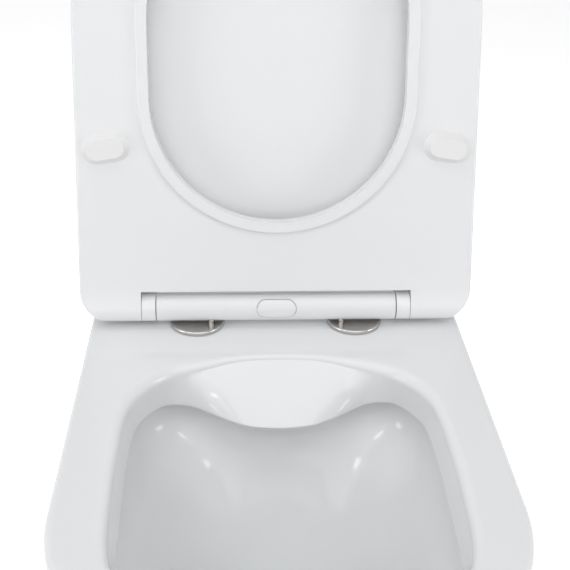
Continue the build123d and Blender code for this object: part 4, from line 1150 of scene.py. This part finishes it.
@dataclass
class LatchSpring:
    """One latch's compression spring, in millimetres, between the barrel's rib and the latch."""

    side: Side
    start: float = 1.3
    length: float = 4.9
    coil_radius: float = 1.75
    wire_radius: float = 0.25
    coils: int = 5
    axis_y: float = HINGE_Y
    axis_z: float = HINGE_Z
    rib: float = 1.0
    pressed_end: float = 3.95
    coil_points: int = 40
    wire_sides: int = 14

    def build(self) -> bpy.types.Object:
        """Builds the coil: a wire's circle carried along a helix about the hinge axis.

        The helix is x = start + length * turn / whole turn, y and z = radius times the cosine
        and sine. Each ring lies in the plane of the radius and of the tangent crossed with it.

        Returns:
            The coil.
        """
        whole = 2 * np.pi * self.coils
        turn = np.linspace(0, whole, self.coils * self.coil_points + 1)
        out = np.stack([0 * turn, np.cos(turn), np.sin(turn)], 1)
        along = np.stack([
            np.full(len(turn), self.length / whole),
            -self.coil_radius * np.sin(turn),
            self.coil_radius * np.cos(turn),
        ], 1)
        along /= np.linalg.norm(along, axis=1, keepdims=True)
        across = np.cross(along, out)
        line = self.coil_radius * out
        line[:, 0] = self.start + self.length * turn / whole
        line[:, 1:] += (self.axis_y, self.axis_z)
        ring = np.linspace(0, 2 * np.pi, self.wire_sides, endpoint=False)[None, :, None]
        grid = line[:, None] + self.wire_radius * (
            np.cos(ring) * out[:, None] + np.sin(ring) * across[:, None]
        )
        ends = [np.broadcast_to(line[i], grid[:1].shape) for i in (0, -1)]
        grid = np.concatenate([ends[0], grid, ends[1]])
        grid[..., 0] *= self.side.value
        wire = Patchwork()
        wire.add(grid * MM, closed=True)
        return wire.build(f"coil_spring_{self.side.word}")

    def dress(self, coil: bpy.types.Object, dresser: Dresser) -> None:
        """Dresses the coil in spring steel and puts it in place of its CAD node."""
        dresser.place(coil, Slot.SPRING_STEEL, f"latch_spring_{self.side.word}")

    def shorten(self, coil: bpy.types.Object) -> None:
        """Gives the coil a mesh of its own.

        Args:
            coil: the spring's mesh.
        """
        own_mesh(coil)


# Studio


@dataclass(frozen=True)
class Lamp:
    """A soft white rectangular lamp, with its place and size in metres and its power in watts."""

    name: str
    place: tuple[float, float, float]
    size: tuple[float, float]
    watts: float

    def hang(self, target: Vector) -> None:
        """Adds the lamp to the scene.

        Args:
            target: the point it faces.
        """
        data = bpy.data.lights.new(self.name, "AREA")
        data.shape = "RECTANGLE"
        data.size, data.size_y = self.size
        data.energy = self.watts
        lamp = bpy.data.objects.new(self.name, data)
        bpy.context.scene.collection.objects.link(lamp)
        lamp.location = self.place
        direction = target - Vector(self.place)
        lamp.rotation_euler = direction.to_track_quat("-Z", "Y").to_euler()


@dataclass
class Studio:
    """Pale floor, soft lamps and a camera at the photograph's viewing angle, in metres.

    Only the camera's place is in millimetres, and its angles are in radians.
    """

    focal_pixels: float = 1200.07
    frame_pixels: float = 570.0
    sensor: float = 36.0
    place_mm: tuple[float, float, float] = (-43.94, -1061.4, 676.19)
    yaw: float = 0.05411
    pitch: float = 0.52535
    roll: float = -0.01974
    clip: tuple[float, float] = (0.05, 50.0)
    floor_z: float = -0.32
    floor_reach: float = 6.0
    floor_colour: str = "F4F4F4"
    floor_roughness: tuple[float, float] = (0.55, 0.7)
    floor_speck_scale: float = 90.0
    floor_glow: float = 0.62
    target: tuple[float, float, float] = (0.0, -0.2, 0.15)
    surround: float = 0.3
    surround_colour: str = "FCFDFF"
    # The surround starts to dim at this sine of the elevation, and is down to this share overhead
    dimming_start: float = 0.2
    zenith: float = 0.45
    lamps: tuple[Lamp, ...] = (
        Lamp("ceiling_panel", (-0.25, -0.5, 2.2), (3.4, 1.5), 22.5),
        Lamp("high_front_panel", (-0.25, -1.9, 1.75), (3.4, 1.5), 15.0),
        Lamp("rear_strip", (0.0, 0.75, 1.9), (1.8, 0.5), 3.4),
        Lamp("left_side_panel", (-1.6, -0.9, 0.3), (0.6, 0.9), 6.5),
        Lamp("right_side_panel", (1.6, -0.9, 0.3), (0.6, 0.9), 7.0),
        Lamp("front_panel", (0.08, -2.2, 0.62), (1.8, 0.75), 1.4),
        Lamp("left_window", (-0.75, -0.99, 1.11), (0.13, 0.3), 0.6),
        Lamp("right_window", (0.72, -1.1, 1.04), (0.12, 0.22), 0.3),
    )

    def camera(self) -> None:
        """Sets the camera from its place, yaw, pitch and roll."""
        forward = Vector((
            math.sin(self.yaw) * math.cos(self.pitch),
            math.cos(self.yaw) * math.cos(self.pitch),
            -math.sin(self.pitch),
        ))
        right = Vector((math.cos(self.yaw), -math.sin(self.yaw), 0))
        down = -right.cross(forward)
        turned = math.cos(self.roll) * right + math.sin(self.roll) * down
        down = -math.sin(self.roll) * right + math.cos(self.roll) * down
        data = bpy.data.cameras.new("camera")
        data.sensor_width = self.sensor
        data.lens = self.sensor * self.focal_pixels / self.frame_pixels
        data.clip_start, data.clip_end = self.clip
        camera = bpy.data.objects.new("camera", data)
        bpy.context.scene.collection.objects.link(camera)
        matrix = Matrix((turned, -down, -forward)).transposed().to_4x4()
        matrix.translation = Vector(self.place_mm) * MM
        camera.matrix_world = matrix
        bpy.context.scene.camera = camera

    def seen_directly(self, tree: bpy.types.NodeTree, *rays: str) -> bpy.types.NodeSocket:
        """A value of 1 on any of the named kinds of ray, and 0 on all others.

        Args:
            tree: the node tree it goes in.
            rays: outputs of the Light Path node.

        Returns:
            The value's output.
        """
        path = add_node(tree, "ShaderNodeLightPath")
        value = path.outputs[rays[0]]
        for ray in rays[1:]:
            value = add_node(tree, "ShaderNodeMath", {"operation": "MAXIMUM"}, {
                0: value, 1: path.outputs[ray]
            }).outputs[0]
        return value

    def world(self) -> None:
        """A pale surround that dims overhead, and white where it is seen or looked through.

        A mirror shows it in full, and it lights the toilet with a share of that.
        """
        world = bpy.data.worlds.new("studio")
        world.use_nodes = True
        tree = world.node_tree
        tree.nodes.clear()
        direction = add_node(tree, "ShaderNodeTexCoord").outputs["Generated"]
        height = add_node(tree, "ShaderNodeSeparateXYZ", inputs={0: direction}).outputs["Z"]
        dimming = add_node(tree, "ShaderNodeMapRange", {"interpolation_type": "SMOOTHSTEP"}, {
            "Value": height,
            "From Min": self.dimming_start,
            "From Max": 1.0,
            "To Min": 1.0,
            "To Max": self.zenith,
        })
        mirrored = self.seen_directly(tree, "Is Glossy Ray")
        level = add_node(tree, "ShaderNodeMapRange", inputs={
            "Value": mirrored, "To Min": self.surround, "To Max": 1.0
        })
        soft = add_node(tree, "ShaderNodeMath", {"operation": "MULTIPLY"}, {
            0: dimming.outputs["Result"], 1: level.outputs["Result"]
        })
        white = self.seen_directly(tree, "Is Camera Ray", "Is Transmission Ray")
        strength = add_node(tree, "ShaderNodeMath", {"operation": "MAXIMUM"}, {
            0: soft.outputs[0], 1: white
        })
        light = add_node(tree, "ShaderNodeBackground", inputs={
            "Color": linear(self.surround_colour), "Strength": strength.outputs[0]
        })
        add_node(tree, "ShaderNodeOutputWorld", inputs={"Surface": light.outputs[0]})
        bpy.context.scene.world = world

    def floor(self) -> None:
        """A large pale floor that looks white to the camera and still takes a soft shadow."""
        corner = np.array([-self.floor_reach, self.floor_reach])
        grid = np.stack(np.meshgrid(corner, corner), -1)
        points = np.concatenate([grid, np.full((2, 2, 1), self.floor_z)], -1)
        mesh = bpy.data.meshes.new("studio_floor")
        mesh.from_pydata(points.reshape(-1, 3).tolist(), [], [[0, 1, 3, 2]])
        floor = bpy.data.objects.new("studio_floor", mesh)
        bpy.context.scene.collection.objects.link(floor)
        material = bpy.data.materials.new("pale studio floor")
        material.use_nodes = True
        tree = material.node_tree
        tree.nodes.clear()
        speck = add_node(tree, "ShaderNodeTexNoise", inputs={
            "Vector": add_node(tree, "ShaderNodeTexCoord").outputs["Object"],
            "Scale": self.floor_speck_scale,
        })
        smoother, rougher = self.floor_roughness
        rough = add_node(tree, "ShaderNodeMapRange", inputs={
            "Value": speck.outputs["Fac"], "To Min": smoother, "To Max": rougher
        })
        paint = add_node(tree, "ShaderNodeBsdfPrincipled", inputs={
            "Base Color": linear(self.floor_colour), "Roughness": rough.outputs["Result"]
        })
        glow = add_node(tree, "ShaderNodeEmission", inputs={
            "Color": linear("FFFFFF"), "Strength": self.floor_glow
        })
        lit = add_node(tree, "ShaderNodeAddShader", inputs={
            0: paint.outputs[0], 1: glow.outputs[0]
        })
        seen = self.seen_directly(tree, "Is Camera Ray", "Is Glossy Ray")
        mix = add_node(tree, "ShaderNodeMixShader", inputs={
            0: seen, 1: paint.outputs[0], 2: lit.outputs[0]
        })
        add_node(tree, "ShaderNodeOutputMaterial", inputs={"Surface": mix.outputs[0]})
        mesh.materials.append(material)
        floor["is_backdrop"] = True

    def build(self) -> None:
        """Sets up camera, surround, floor and lamps."""
        self.camera()
        self.world()
        self.floor()
        for lamp in self.lamps:
            lamp.hang(Vector(self.target))
        bpy.context.scene.view_settings.view_transform = "Standard"


def corners(box: tuple[Vector, Vector]) -> list[list[float]]:
    """Both corners of a box as plain lists of numbers."""
    return [list(box[0]), list(box[1])]


def main() -> None:
    """Builds the toilet's looks piece by piece."""
    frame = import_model()
    cad_box = corners(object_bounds())
    dresser = Dresser(frame)
    dresser.dress_nodes()
    log.info("%d CAD nodes dressed", len(frame["nodes"]))
    pan = ChinaPan()
    pan.dress(pan.build(), dresser)
    for side in Side:
        spring = LatchSpring(side)
        coil = spring.build()
        spring.dress(coil, dresser)
        spring.shorten(coil)
    Studio().build()
    {"cad": cad_box, "visual": corners(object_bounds())}


if __name__ == "__main__":
    main()
